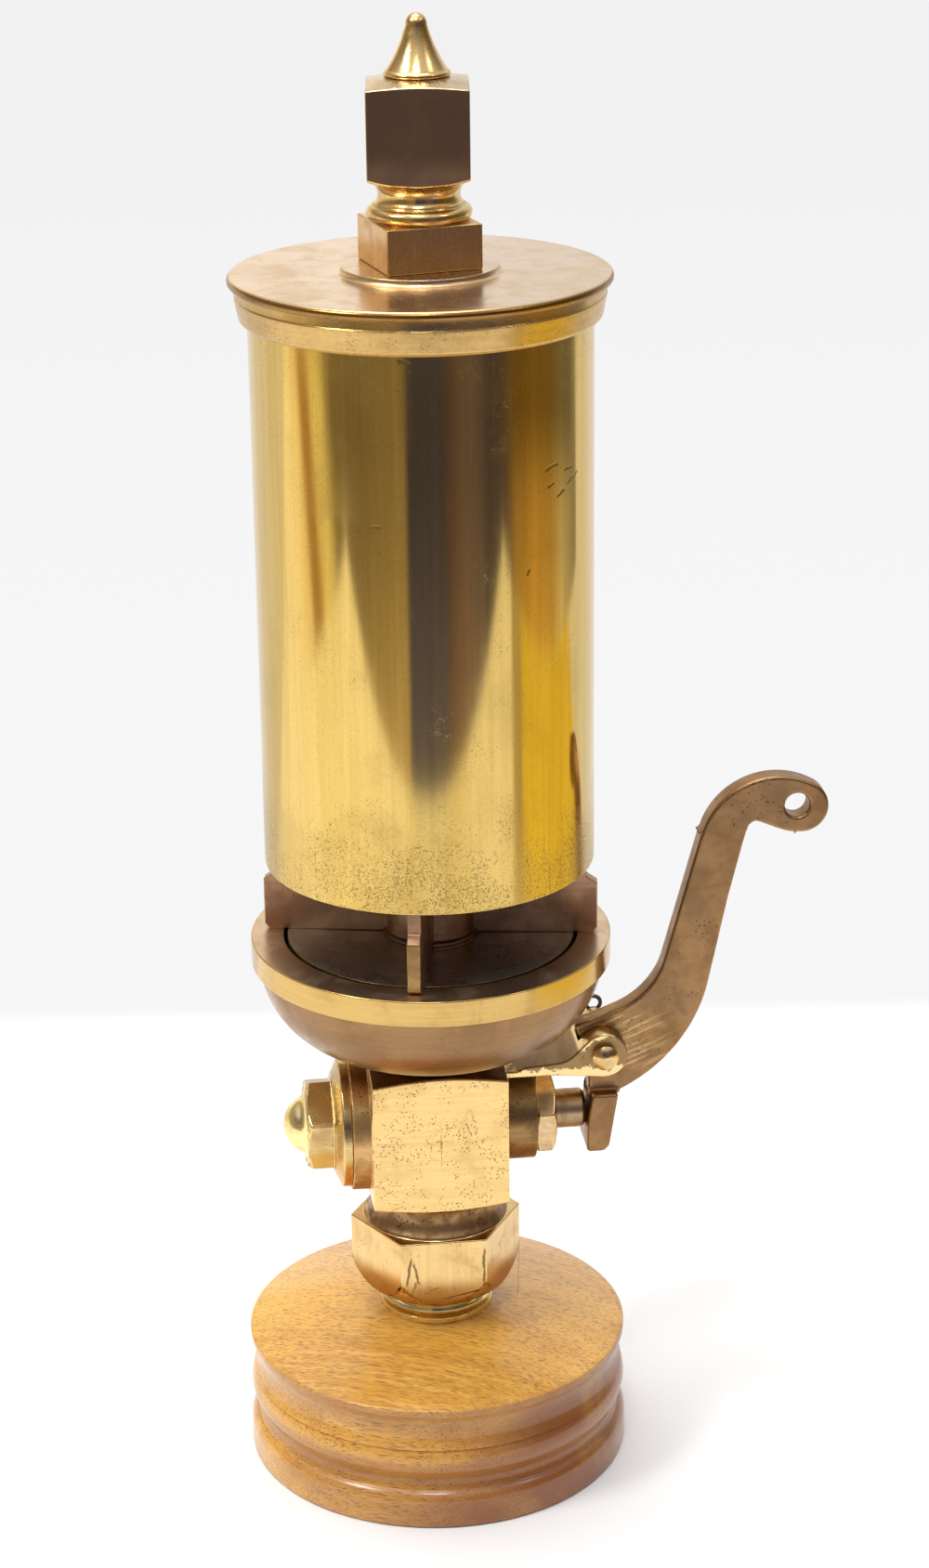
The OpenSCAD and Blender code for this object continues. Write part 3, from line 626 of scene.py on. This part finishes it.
def wood_pores(n, along):
    """Short dark dashes along the grain, with finer flecks between them."""
    dash = n.range(n.cells(n.stretched(along, (150, 2200, 2200)), 1.0), 0.32, 0.20)
    fleck = n.range(n.cells(n.stretched(along, (280, 3300, 3300)), 1.0), 0.36, 0.22)
    rarity = n.noise(n.stretched(along, (20, 70, 70)), 2.2, detail=3)
    dash = n.times(dash, n.range(rarity, 0.30, 0.46))
    return n.most(dash, n.times(fleck, 0.7))


def wood_tone(n, axes, broad, streak):
    """Honey top, and sides with painted shade: browner all round, darker to the right and lower
    down with some random tone, and browner still on the bead's underside and in the groove.
    """
    honey = n.mix(n.range(broad, 0.36, 0.64), HONEY_LIGHT, HONEY_DEEP)
    honey = n.mix(n.range(streak, 0.42, 0.66, 0, 0.55), honey, HONEY_STREAK)
    side = n.range(axes["Z"], SIDE_Z[0] * MM, SIDE_Z[1] * MM)
    # Painted shade: the sides darken towards the right and lower down
    right_shade = n.minus(axes["X"], n.times(axes["Z"], 0.8))
    figure_and_shade = n.plus(
        n.range(right_shade, -28 * MM, 15 * MM, 0.0, 0.7), n.range(broad, 0.38, 0.66, 0.0, 0.4))
    honey = n.mix(n.times(side, figure_and_shade), honey, SIDE_FIGURE_AND_SHADE)
    # Painted shade on the bead's underside and in the groove below it
    bead = n.inside(axes["Z"], BEAD_SHADE_Z[0] * MM, BEAD_SHADE_Z[1] * MM, 1.5 * MM)
    return n.mix(n.times(side, n.range(bead, 0, 1, 0.18, 0.65)), honey, SIDE_SHADE_BROWN)


def wood(name):
    """Open-pored honey wood under satin varnish, its grain a little turned from X."""
    material, n, shader = new_material(name)
    place = n.place()
    along = n.turned(place, "Z", GRAIN_TURN)
    broad = n.noise(n.stretched(along, (4, 30, 30)), 1.5, detail=5, rough=0.55, distortion=0.5)
    streak = n.noise(n.stretched(along, (14, 260, 260)), 3.0, detail=5, rough=0.65)
    pore = wood_pores(n, along)
    tone = wood_tone(n, n.split(place), broad, streak)
    n.join(n.mix(n.times(pore, 0.75), tone, PORE), shader["Base Color"])
    shader["Roughness"].default_value = 0.45
    shader["Coat Weight"].default_value = 0.8
    shader["Coat Roughness"].default_value = 0.15
    n.join(n.bump(n.minus(n.times(streak, 0.6), pore), 0.3, 0.1), shader["Normal"])
    return material


def plain(name, colour, rough, metallic=0.0):
    """Simple finish for pieces hidden inside, with a little mottling."""
    material, n, shader = new_material(name)
    cloud = use_group(n, CLOUDS, Scale=200.0, Low=0.3, High=0.7)
    n.join(n.mix(cloud, colour, darker(colour, 0.7)), shader["Base Color"])
    shader["Roughness"].default_value = rough
    shader["Metallic"].default_value = metallic
    return material


# Finishes

# The turn of upright lines, in radians
UPRIGHT = 1.57

WOOD = wood("varnished wood")
TUBE = tube_metal("tube brass")
EAR = ear_metal("worn bracket")
LEVER = lever_metal("cast lever")
POLISHED = metal(
    "polished gold brass", (0.82, 0.57, 0.245), (0.62, 0.40, 0.155), 0.19, 0.30,
    clouds=(190, 0.42, 0.68), pits=(1500, 0.25, 0.58, 0.6), relief=0.03)
OLIVE_BRASS = metal(
    "olive brass", (0.72, 0.52, 0.225), (0.54, 0.37, 0.15), 0.26, 0.34,
    clouds=(140, 0.42, 0.68), pits=(1200, 0.27, 0.56, 0.7), relief=0.05,
    fade=(VALVE_Z - 1.5, VALVE_Z - 4.5, (0.66, 0.36, 0.07)))
SPIGOT = metal(
    "bright collar", (0.95, 0.80, 0.38), (0.80, 0.62, 0.26), 0.10, 0.20,
    clouds=(200, 0.45, 0.72), pits=(1500, 0.27, 0.58, 0.6))
CUP = metal(
    "satin cup", (0.345, 0.20, 0.094), (0.275, 0.155, 0.07), 0.27, 0.36,
    clouds=(60, 0.40, 0.66), pits=(1200, 0.27, 0.58, 0.7))
BAND = metal(
    "bright band", (0.65, 0.43, 0.15), (0.57, 0.36, 0.113), 0.16, 0.26,
    clouds=(120, 0.45, 0.72), pits=(1300, 0.27, 0.58, 0.7))
LAND = metal(
    "dark land", (0.82, 0.59, 0.39), (0.62, 0.43, 0.27), 0.32, 0.44,
    clouds=(110, 0.42, 0.66), pits=(1300, 0.27, 0.56, 0.6))
PLATE = metal(
    "dark plate", (0.95, 1.0, 0.98), (0.78, 0.80, 0.76), 0.24, 0.34,
    clouds=(60, 0.42, 0.62), pits=(1300, 0.27, 0.60, 0.5))
WALLS = metal(
    "brown walls", (0.44, 0.255, 0.15), (0.33, 0.19, 0.11), 0.34, 0.46,
    clouds=(120, 0.42, 0.62), pits=(1100, 0.3, 0.52, 0.6))
CAP = metal(
    "satin cap", (0.76, 0.56, 0.37), (0.66, 0.45, 0.22), 0.24, 0.31,
    clouds=(110, 0.38, 0.70), pits=(1500, 0.25, 0.56, 0.6))
# The cap's rounded lip is painted dark: painted shade on its underside and a painted dark
# reflection on its front
CAP_LIP_SHADE = metal(
    "dark lip", (0.35, 0.185, 0.053), (0.27, 0.14, 0.038), 0.24, 0.34,
    clouds=(90, 0.42, 0.66), pits=(1200, 0.27, 0.56, 0.7))
GOLDEN_SKIRT = metal(
    "golden skirt", (0.64, 0.42, 0.16), (0.57, 0.365, 0.13), 0.24, 0.29,
    clouds=(420, 0.32, 0.78), pits=(1700, 0.32, 0.50, 0.8))
NUT = metal(
    "brown nut", (0.85, 0.53, 0.22), (0.59, 0.35, 0.13), 0.26, 0.36,
    clouds=(110, 0.40, 0.66), pits=(1300, 0.27, 0.55, 0.7), lines=(45, UPRIGHT), relief=0.07)
FIN = metal(
    "fin end", (0.37, 0.23, 0.09), (0.29, 0.175, 0.065), 0.26, 0.38,
    clouds=(200, 0.42, 0.66), pits=(1300, 0.27, 0.55, 0.7))
CUBE = metal(
    "chocolate cube", (0.50, 0.31, 0.15), (0.38, 0.225, 0.10), 0.28, 0.34,
    clouds=(90, 0.36, 0.70), pits=(1900, 0.25, 0.70, 0.3), lines=None,
    fade=(CUBE_LOW + 6.6, CUBE_LOW + 1.1, (0.70, 0.45, 0.21)))
CUBE_TOP = metal(
    "pale cube top", (0.70, 0.54, 0.33), (0.56, 0.40, 0.21), 0.26, 0.34,
    clouds=(150, 0.42, 0.66), pits=(1400, 0.25, 0.62, 0.5), relief=0.02)
BLOCK = metal(
    "brushed block", (0.90, 0.63, 0.26), (0.82, 0.555, 0.215), 0.28, 0.36,
    clouds=(90, 0.45, 0.75), pits=(1450, 0.38, 0.45, 0.8), relief=0.10)
HEX = metal(
    "bright hexagon", (0.84, 0.58, 0.25), (0.68, 0.44, 0.17), 0.18, 0.28,
    clouds=(120, 0.45, 0.70), pits=(1300, 0.32, 0.52, 0.8), lines=(40, UPRIGHT), relief=0.10,
    fade=(51.8, 47.2, (0.38, 0.17, 0.027)),
    marks=[
        (-8.4, 53, 9, 80), (-6.6, 52.6, 7, 102), (9.6, 53.4, 11, 90),
        (-7.4, 48.4, 5, 72), (-2.5, 48.2, 3, 20)])
ROUGH_CAST = metal(
    "rough casting", (0.40, 0.235, 0.105), (0.24, 0.135, 0.06), 0.36, 0.50,
    clouds=(260, 0.42, 0.60), pits=(700, 0.36, 0.46, 0.6), relief=0.2)
# One boss finish in two copies: the right boss darker as painted shade, the left boss lighter as
# painted light
SHADED_RIGHT_BOSS = metal(
    "right boss", (0.35, 0.212, 0.083), (0.24, 0.14, 0.057), 0.34, 0.48,
    clouds=(180, 0.42, 0.62), pits=(1100, 0.34, 0.48, 0.7), relief=0.15)
LIT_LEFT_BOSS = metal(
    "left boss", (0.74, 0.46, 0.19), (0.50, 0.30, 0.12), 0.36, 0.48,
    clouds=(180, 0.42, 0.62), pits=(1100, 0.34, 0.48, 0.7), relief=0.15)
NOSE = metal(
    "bonnet nose", (1.0, 0.80, 0.38), (0.86, 0.64, 0.28), 0.22, 0.32,
    clouds=(200, 0.42, 0.66), pits=(1300, 0.27, 0.56, 0.7))
CHAMFER = metal(
    "hexagon foot", (0.62, 0.36, 0.11), (0.46, 0.25, 0.07), 0.22, 0.32,
    clouds=(160, 0.42, 0.66), pits=(1200, 0.32, 0.50, 0.8), relief=0.06)
GLAND = metal(
    "gland brass", (0.80, 0.58, 0.32), (0.60, 0.41, 0.21), 0.20, 0.32,
    clouds=(160, 0.42, 0.66), pits=(1100, 0.27, 0.54, 0.7))
STEM = metal(
    "brown stem", (0.48, 0.335, 0.19), (0.38, 0.26, 0.14), 0.36, 0.46,
    clouds=(200, 0.42, 0.62), pits=(1200, 0.27, 0.54, 0.7))
PIN = metal(
    "pin brass", (0.86, 0.61, 0.29), (0.66, 0.44, 0.19), 0.18, 0.30,
    clouds=(300, 0.42, 0.66), pits=(1400, 0.27, 0.52, 0.8))
STEEL = plain("dull steel", (0.20, 0.185, 0.17), 0.35, metallic=1.0)
WASHER = plain("washer", (0.10, 0.06, 0.045), 0.7)
PACKING = plain("packing", (0.7, 0.64, 0.5), 0.8)


# Turned pieces, each outline in (radius, height)

def base_outline():
    """Domed top, cove, bead, groove, shoulder and foot, from the top down."""
    edge_r, edge_z, crown, flat = BASE_R - 0.3, 31.3, 5.5, 3.7
    crown_r = (edge_r ** 2 + crown ** 2) / (2 * crown)
    crown_centre = (0, edge_z + crown - crown_r)
    half_angle = math.degrees(math.asin(edge_r / crown_r))
    cove, cove_r = (50.5, 24.7), 7
    bead, bead_r = (40.3, 17), 5.2
    groove, groove_r = (45.9, 11.2), 2.6
    shoulder_r, shoulder_z, foot_r = 3.4, 6.2, 1
    points = [(0, BASE_TOP)]
    points += arc(crown_centre, crown_r, 90 - flat, 90 - half_angle, 14)
    points += arc(cove, cove_r, 180 - 44.4, 180 + 38, 16)
    points += arc(bead, bead_r, 40, -43, 16)
    points += arc(groove, groove_r, 140, 215, 8)
    points += arc((BASE_R - shoulder_r, shoulder_z), shoulder_r, 62, 0, 8)
    points += arc((BASE_R - foot_r, foot_r), foot_r, 0, -90, 5)
    points += [(0, 0)]
    return eased(points, 0.4)


def spigot_outline():
    """Flange, hollow, thin ring and neck, with a bore for the stud."""
    foot = low("mounting_spigot").z
    top = high("mounting_spigot").z
    flange_r = high("mounting_spigot").x
    bore, neck_r, waist_r, ring_r = 4, 10.3, 10.5, 11.3
    hollow, hollow_r = (flange_r - 0.5, foot + 3.2), 1.7
    flange_top, ring_low, ring_top = foot + 1.5, foot + 3.5, foot + 4.2
    points = [(bore, foot), (flange_r, foot), (flange_r, flange_top), (hollow[0], flange_top)]
    points += arc(hollow, hollow_r, -95, -173, 8)
    points += [(waist_r, foot + 3), (waist_r, ring_low), (ring_r, ring_low), (ring_r, ring_top)]
    points += [(neck_r, ring_top), (neck_r, top), (bore, top)]
    return eased(points, 0.3)


def bowl_outline():
    """Cup with a thick band at its rim, open inside."""
    cup_r, cup_arc, cup_z, wall = 40.2, 21, 128, 3.6
    centre = (cup_r - cup_arc, cup_z)
    seat = low("bowl").z
    bore, neck_r, neck_top, inner_foot = 13.5, 15.5, 107.33, 110.6
    land_r, land_depth = 34.3, 3
    points = [(bore, seat), (neck_r, seat), (neck_r, neck_top)]
    points += arc(centre, cup_arc, -96, 0, 26)
    points += [(cup_r, BAND_Z), (BOWL_R, BAND_Z), (BOWL_R, RIM_Z), (land_r, RIM_Z)]
    points += [(land_r, RIM_Z - land_depth)]
    points += arc(centre, cup_arc - wall, 8.5, -90, 20)
    points += [(bore, inner_foot)]
    return eased(points, 0.3)


def languid_outline():
    """Plate with a stepped rim, so that only its upper edge closes the slot."""
    under = low("languid_disc").z
    step_r, step_z = LANGUID_R - 2, RIM_Z - 2.4
    return eased([
        (STEM_R, under), (step_r, under), (step_r, step_z),
        (LANGUID_R, step_z), (LANGUID_R, RIM_Z), (STEM_R, RIM_Z)], 0.12)


def tube_outline():
    """Tube with its lip bevelled inside."""
    inner, lip, lip_height = BELL_R - 1.6, 0.65, 2.3
    return eased([
        (inner + lip, BELL_LIP), (BELL_R, BELL_LIP), (BELL_R, BELL_TOP), (inner, BELL_TOP),
        (inner, BELL_LIP + lip_height)], 0.25)


def cap_outline():
    """Skirt, rounded lip, flat top and a low boss under the nut."""
    boss_height, lip, boss_r, fillet = 1.5, 2.2, 17.4, 1
    top = CAP_BOSS_TOP - boss_height
    skirt = CAP_R - 1.4
    wall = skirt - 0.3
    points = [(BELL_R, CAP_SKIRT), (skirt - 1.8, CAP_SKIRT), (skirt - 0.9, CAP_SKIRT + 0.8)]
    points += [(skirt, CAP_SKIRT + 5.6), (wall, BELL_TOP - 1), (wall, top - lip)]
    points += arc((CAP_R - lip / 2, top - lip / 2), lip / 2, -90, 90, 10)
    points += [(boss_r + fillet, top)]
    points += arc((boss_r + fillet, top + fillet), fillet, -90, -180, 5)
    points += [(boss_r, CAP_BOSS_TOP), (STEM_R, CAP_BOSS_TOP)]
    points += [(STEM_R, BELL_TOP), (BELL_R, BELL_TOP)]
    return eased(points, 0.3)


def finial_outline():
    """Thin bead, flared cone and round tip."""
    bead_r, flare_r, tip_r = 0.65, 32, 2.35
    points = [(0, FINIAL_Z), (6.5, FINIAL_Z)]
    points += arc((6.6, FINIAL_Z + bead_r), bead_r, -75, 55, 8)
    points += arc((33.24, FINIAL_Z + 19.25), flare_r, 180 + 34.2, 180 + 15.4, 20)
    points += arc((0, FINIAL_Z + 11), tip_r, 6, 90, 12)
    return points


def bowl_rule(middle, normal, index):
    """0 cup, 1 band, 2 the land beside the slot and the inside."""
    radius = math.hypot(middle.x, middle.y)
    faces_up = middle.z > RIM_Z - 0.1 or normal.z > 0.2
    if radius < BOWL_R - 0.4 and faces_up:
        return 2
    return 1 if radius > 40 and middle.z > BAND_Z - 0.1 else 0


def languid_rule(middle, normal, index):
    """0 plate, 1 its edge beside the slot, painted dark as shade in the slot."""
    return 1 if math.hypot(middle.x, middle.y) > LANGUID_R - 0.2 else 0


def cap_rule(middle, normal, index):
    """0 top, 1 lip, painted dark as shade and dark reflection, 2 skirt."""
    radius = math.hypot(middle.x, middle.y)
    if middle.z > CAP_BOSS_TOP - 1.9 and radius < CAP_R - 0.6:
        return 0
    return 1 if middle.z > CAP_BOSS_TOP - 4.1 else 2


def make_turned_pieces():
    bright, pale, aged = "bright_brass", "pale_bronze", "aged_bronze"
    # The languid's edge beside the slot takes the dark right-boss finish as painted shade in the
    # slot
    cap, bowl, plate = [CAP, CAP_LIP_SHADE, GOLDEN_SKIRT], [CUP, BAND, LAND], [PLATE, SHADED_RIGHT_BOSS]
    rows = [
        ("base_body", base_outline(), "wood", [WOOD], "wooden_base", None),
        ("spigot_body", spigot_outline(), bright, [SPIGOT], "mounting_spigot", None),
        ("bowl_body", bowl_outline(), pale, bowl, "bowl", bowl_rule),
        ("languid_plate", languid_outline(), aged, plate, "languid_disc", languid_rule),
        ("tube_body", tube_outline(), bright, [TUBE], "bell_tube", None),
        ("cap_body", cap_outline(), pale, cap, "bell_cap", cap_rule),
        ("finial_body", finial_outline(), bright, [POLISHED], "finial", None),
    ]
    for name, outline, slot, materials, node, rule in rows:
        piece(name, turned(outline), "whistle", materials, node, rule)


# Cast and hexagonal pieces, from the CAD solids

def valve_rule(middle, normal, index):
    """0 block face, 1 hexagon, 2 casting, 3 left boss, 4 right boss, 5 bracket, 6 chamfer."""
    if middle.z < HEX_TOP:
        return 6 if normal.z < -0.2 and index == 0 else 1
    if middle.x > BLOCK_HALF and middle.z > BRACKET_Z:
        return 5
    if abs(middle.x) > BLOCK_HALF:
        return 3 if middle.x < 0 else 4
    reach = max(abs(middle.x), abs(middle.y))
    on_face = reach > BLOCK_HALF - 0.4
    on_edge = index == 1 and reach > BLOCK_HALF - 1.3 and abs(normal.z) < 0.5
    return 0 if BLOCK_LOW < middle.z < BLOCK_HIGH and (on_face or on_edge) else 2


def bonnet_rule(middle, normal, index):
    """0 hexagon and flange, 1 rounded edges, 2 nose."""
    return 2 if middle.x < NOSE_X else index


def pedestal_rule(middle, normal, index):
    """0 cube face, 1 cube top, 2 turned foot."""
    if middle.z < CUBE_LOW:
        return 2
    return 1 if normal.z > 0.15 else 0


def walls_rule(middle, normal, index):
    """0 walls and hub, 1 outer ends of the fins."""
    radius = math.hypot(middle.x, middle.y)
    outward = abs(normal.x * middle.x + normal.y * middle.y)
    return 1 if radius > FIN_R and outward > 0.7 * radius else 0


def make_cast_pieces():
    bright, pale, aged, cast = "bright_brass", "pale_bronze", "aged_bronze", "cast_bronze"
    body = [BLOCK, HEX, ROUGH_CAST, LIT_LEFT_BOSS, SHADED_RIGHT_BOSS, EAR, CHAMFER]
    plug = [OLIVE_BRASS, POLISHED, NOSE]
    cube = [CUBE, CUBE_TOP, POLISHED]
    halves = (-BLOCK_HALF, BLOCK_HALF)
    rows = [
        ("valve_block", "valve_body", dict(width=0.4, cuts=halves), cast, body, valve_rule),
        ("bonnet_plug", "bonnet", dict(width=0.3, bore=8), bright, plug, bonnet_rule),
        ("gland_hexagon", "gland_nut", dict(width=0.35), pale, [GLAND, POLISHED], None),
        ("pull_lever", "lever", dict(width=0.8, merge=0.08), cast, [LEVER], None),
        ("dividing_walls", "chamber_dividers", dict(width=0.3), aged, [WALLS, FIN], walls_rule),
        ("locknut", "square_locknut", dict(width=0.4), aged, [NUT, GOLDEN_SKIRT], None),
        ("pedestal", "pedestal_nut", dict(width=0.3), aged, cube, pedestal_rule),
    ]
    for name, node, shape, slot, materials, rule in rows:
        body_name = "lever" if node == "lever" else "whistle"
        piece(name, softened(node, **shape), body_name, materials, node, rule)


def finish_hidden_nodes():
    """Materials for the CAD nodes that show as they are."""
    finishes = {
        "mounting_stud": STEEL, "valve_seat": POLISHED, "valve_stem": STEM,
        "valve_disc": POLISHED, "disc_washer": WASHER, "disc_nut": POLISHED,
        "valve_spring": STEEL, "bonnet_gasket": WASHER, "gland_packing": PACKING,
        "pivot_pin": PIN, "cotter_pin": STEEL, "center_stem": POLISHED, "stem_spider": CUP,
        "chamber_stop_1": WALLS, "chamber_stop_2": WALLS, "chamber_stop_3": WALLS}
    for node, material in finishes.items():
        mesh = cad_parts[node].data
        mesh.materials.clear()
        mesh.materials.append(material)


# Camera and studio, lengths in metres

CAMERA_PLACE = Vector((-0.0767, -0.7296, 0.4427))
CAMERA_HEADING = math.radians(6.65)
CAMERA_DOWN = math.radians(20.41)
CAMERA_ROLL = math.radians(-0.70)
CAMERA_LENS = 131.7
TOWARD_CAMERA = math.radians(6.0)


def make_camera():
    data = bpy.data.cameras.new("camera")
    data.sensor_fit = "HORIZONTAL"
    data.sensor_width = 36
    data.lens = CAMERA_LENS
    data.clip_start = 0.01
    data.clip_end = 50
    camera = bpy.data.objects.new("camera", data)
    bpy.context.collection.objects.link(camera)
    aim = Euler((math.pi / 2 - CAMERA_DOWN, 0, -CAMERA_HEADING)).to_matrix()
    turn = aim @ Matrix.Rotation(CAMERA_ROLL, 3, "Z")
    camera.matrix_world = Matrix.Translation(CAMERA_PLACE) @ turn.to_4x4()
    bpy.context.scene.camera = camera


FLOOR_HALF = 6.0
TABLE_COLOUR = (0.90, 0.90, 0.90)
TABLE_FRONT = -0.515
TABLE_SIDE = 0.67
TABLE_BACK = (0.226, 0.258)
BACKDROP_NEAR = (0.925, 0.925, 0.935)
BACKDROP_FAR = (0.885, 0.88, 0.89)
CARD_SIDE = (0.30, 0.68)
CARD_SLOPE = (-0.62, 0.52)
CARD_DULL = (0.45, 0.38, 0.22)
CARD_YELLOW = (0.78, 0.62, 0.09)


def yellow_card(n, side, depth):
    """Mask and colour of a yellow card that lies on the table at the right."""
    slope = n.math("DIVIDE", depth, n.most(side, 0.01))
    mask = n.times(n.inside(side, *CARD_SIDE, 0.03), n.inside(slope, *CARD_SLOPE, 0.03))
    return mask, n.mix(n.range(slope, -0.50, -0.42), CARD_DULL, CARD_YELLOW)


def table_ends(n, side, depth):
    """1 past the table's front edge and past its sides."""
    past_front = n.math("LESS_THAN", depth, TABLE_FRONT)
    past_side = n.math("GREATER_THAN", n.math("ABSOLUTE", side), TABLE_SIDE)
    near = n.math("LESS_THAN", depth, n.most(n.times(side, 0.6), 0.242))
    return n.most(past_front, n.times(past_side, near))


def floor_material():
    """Pale table that turns into a backdrop. Only mirrors see the table's ends and the card."""
    material, n, shader = new_material("pale floor")
    axes = n.split(n.turned(n.place(), "Z", TOWARD_CAMERA))
    side, depth = axes["X"], axes["Y"]
    mirror_ray = n.add("ShaderNodeLightPath").outputs["Is Glossy Ray"]
    card, yellow = yellow_card(n, side, depth)
    n.join(n.mix(n.times(card, mirror_ray), TABLE_COLOUR, yellow), shader["Base Color"])
    shader["Roughness"].default_value = 0.9
    backdrop = n.add("ShaderNodeEmission")
    tone = n.mix(n.range(depth, 0.3, 2.2), BACKDROP_NEAR, BACKDROP_FAR)
    n.join(tone, backdrop.inputs["Color"])
    table = material.node_tree.nodes["Principled BSDF"].outputs[0]
    ground = n.blend(n.range(depth, *TABLE_BACK), table, backdrop.outputs[0])
    nothing = n.add("ShaderNodeBsdfTransparent").outputs[0]
    surface = n.blend(n.times(table_ends(n, side, depth), mirror_ray), ground, nothing)
    n.join(surface, material.node_tree.nodes["Material Output"].inputs["Surface"])
    return material


def make_floor():
    bm = bmesh.new()
    bmesh.ops.create_grid(bm, x_segments=1, y_segments=1, size=FLOOR_HALF)
    mesh = bpy.data.meshes.new("floor")
    bm.to_mesh(mesh)
    bm.free()
    floor = bpy.data.objects.new("floor", mesh)
    bpy.context.collection.objects.link(floor)
    mesh.materials.append(floor_material())


# Tones of the room by compass angle from the camera's direction, as mirrors see them
ROOM_TONES = [
    (-180, (0.95, 0.96, 0.99)),
    (-138, (1.08, 1.08, 1.08)),
    (-117, (1.16, 1.14, 1.10)),
    (-101, (1.33, 1.28, 1.20)),
    (-94, (1.25, 1.16, 1.00)),
    (-90, (1.15, 1.02, 0.76)),
    (-87, (0.52, 0.31, 0.12)),
    (-81, (0.52, 0.32, 0.12)),
    (-78, (1.05, 0.98, 0.66)),
    (-70, (1.05, 0.98, 0.64)),
    (-64, (0.34, 0.29, 0.20)),
    (-45, (0.30, 0.25, 0.18)),
    (-13, (0.44, 0.37, 0.25)),
    (-10, (0.09, 0.09, 0.20)),
    (13, (0.10, 0.10, 0.20)),
    (18, (0.17, 0.12, 0.17)),
    (28, (0.22, 0.17, 0.22)),
    (38, (0.17, 0.14, 0.19)),
    (43, (0.10, 0.09, 0.15)),
    (55, (0.13, 0.10, 0.15)),
    (63, (0.36, 0.235, 0.09)),
    (78, (0.56, 0.36, 0.11)),
    (94, (0.50, 0.34, 0.12)),
    (104, (0.62, 0.56, 0.42)),
    (116, (0.34, 0.32, 0.28)),
    (126, (0.40, 0.38, 0.34)),
    (138, (0.80, 0.80, 0.80)),
    (180, (0.95, 0.96, 0.99)),
]
CEILING = (0.75, 0.76, 0.78)
SEEN_BY_CAMERA = (0.90, 0.90, 0.91)
LEAN_FROM = -0.247
LEAN = 2.3


def room_tone(n, angle, up):
    """The room's tones round the whistle, leaning at the left below the height LEAN_FROM."""
    lean = n.times(n.minus(LEAN_FROM, up), LEAN)
    lean = n.times(lean, n.range(angle, math.radians(-40), math.radians(-68)))
    ramp = n.add("ShaderNodeValToRGB")
    turns = n.math("DIVIDE", n.minus(angle, lean), 2 * math.pi)
    n.join(n.plus(turns, 0.5), ramp.inputs["Fac"])
    stops = ramp.color_ramp.elements
    for i, (degrees, tone) in enumerate(ROOM_TONES):
        place = (degrees + 180) / 360
        stop = stops[i] if i < 2 else stops.new(place)
        stop.position = place
        stop.color = rgba(tone)
    return ramp.outputs["Color"]


def room_shade(n, angle, up):
    """Brightness by height: lighter low down in front, and dusk above it at the right."""
    shade = n.range(up, -0.25, -0.35, 0.70, 1.45)
    front = n.inside(angle, math.radians(-66), math.radians(112), 0.1)
    shade = n.plus(1.0, n.times(n.minus(shade, 1.0), front))
    right = n.inside(angle, math.radians(60), math.radians(118), 0.06)
    dusk = n.range(up, -0.243, -0.272, -0.4, 0.25)
    return n.plus(shade, n.times(dusk, right))


def make_room():
    world = bpy.data.worlds.new("room")
    bpy.context.scene.world = world
    world.use_nodes = True
    n = Nodes(world.node_tree)
    ray = n.add("ShaderNodeTexCoord").outputs["Generated"]
    axes = n.split(n.turned(ray, "Z", TOWARD_CAMERA))
    angle = n.math("ARCTAN2", axes["X"], n.times(axes["Y"], -1))
    shaded = n.add("ShaderNodeVectorMath", operation="SCALE")
    n.join(room_tone(n, angle, axes["Z"]), shaded.inputs[0])
    n.join(room_shade(n, angle, axes["Z"]), shaded.inputs["Scale"])
    seen = n.mix(n.range(axes["Z"], 0.35, 0.75), shaded.outputs[0], CEILING)
    camera_ray = n.add("ShaderNodeLightPath").outputs["Is Camera Ray"]
    background = world.node_tree.nodes["Background"]
    n.join(n.mix(camera_ray, seen, SEEN_BY_CAMERA), background.inputs["Color"])


AIM_HEIGHT = 0.15


def softbox(name, angle, elevation, distance, size, watts):
    """A square light aimed at the whistle, its angle counted from the camera's direction."""
    a = math.radians(angle) - TOWARD_CAMERA
    e = math.radians(elevation)
    direction = Vector((math.sin(a) * math.cos(e), -math.cos(a) * math.cos(e), math.sin(e)))
    data = bpy.data.lights.new(name, "AREA")
    data.shape = "SQUARE"
    data.size = size
    data.energy = watts
    light = bpy.data.objects.new(name, data)
    bpy.context.collection.objects.link(light)
    light.location = Vector((0, 0, AIM_HEIGHT)) + direction * distance
    light.rotation_euler = (-direction).to_track_quat("-Z", "Y").to_euler()


def make_lights():
    softbox("top light", -150, 78, 1.6, 1.1, 15)
    softbox("left light", -62, 50, 1.4, 0.34, 7)
    softbox("front light", -4, 62, 1.5, 0.30, 4.2)
    softbox("right light", 68, 48, 1.5, 0.22, 0.9)


def make_view():
    bpy.context.scene.view_settings.view_transform = "Standard"
    bpy.context.scene.view_settings.look = "None"


make_turned_pieces()
make_cast_pieces()
finish_hidden_nodes()
make_camera()
make_floor()
make_room()
make_lights()
make_view()
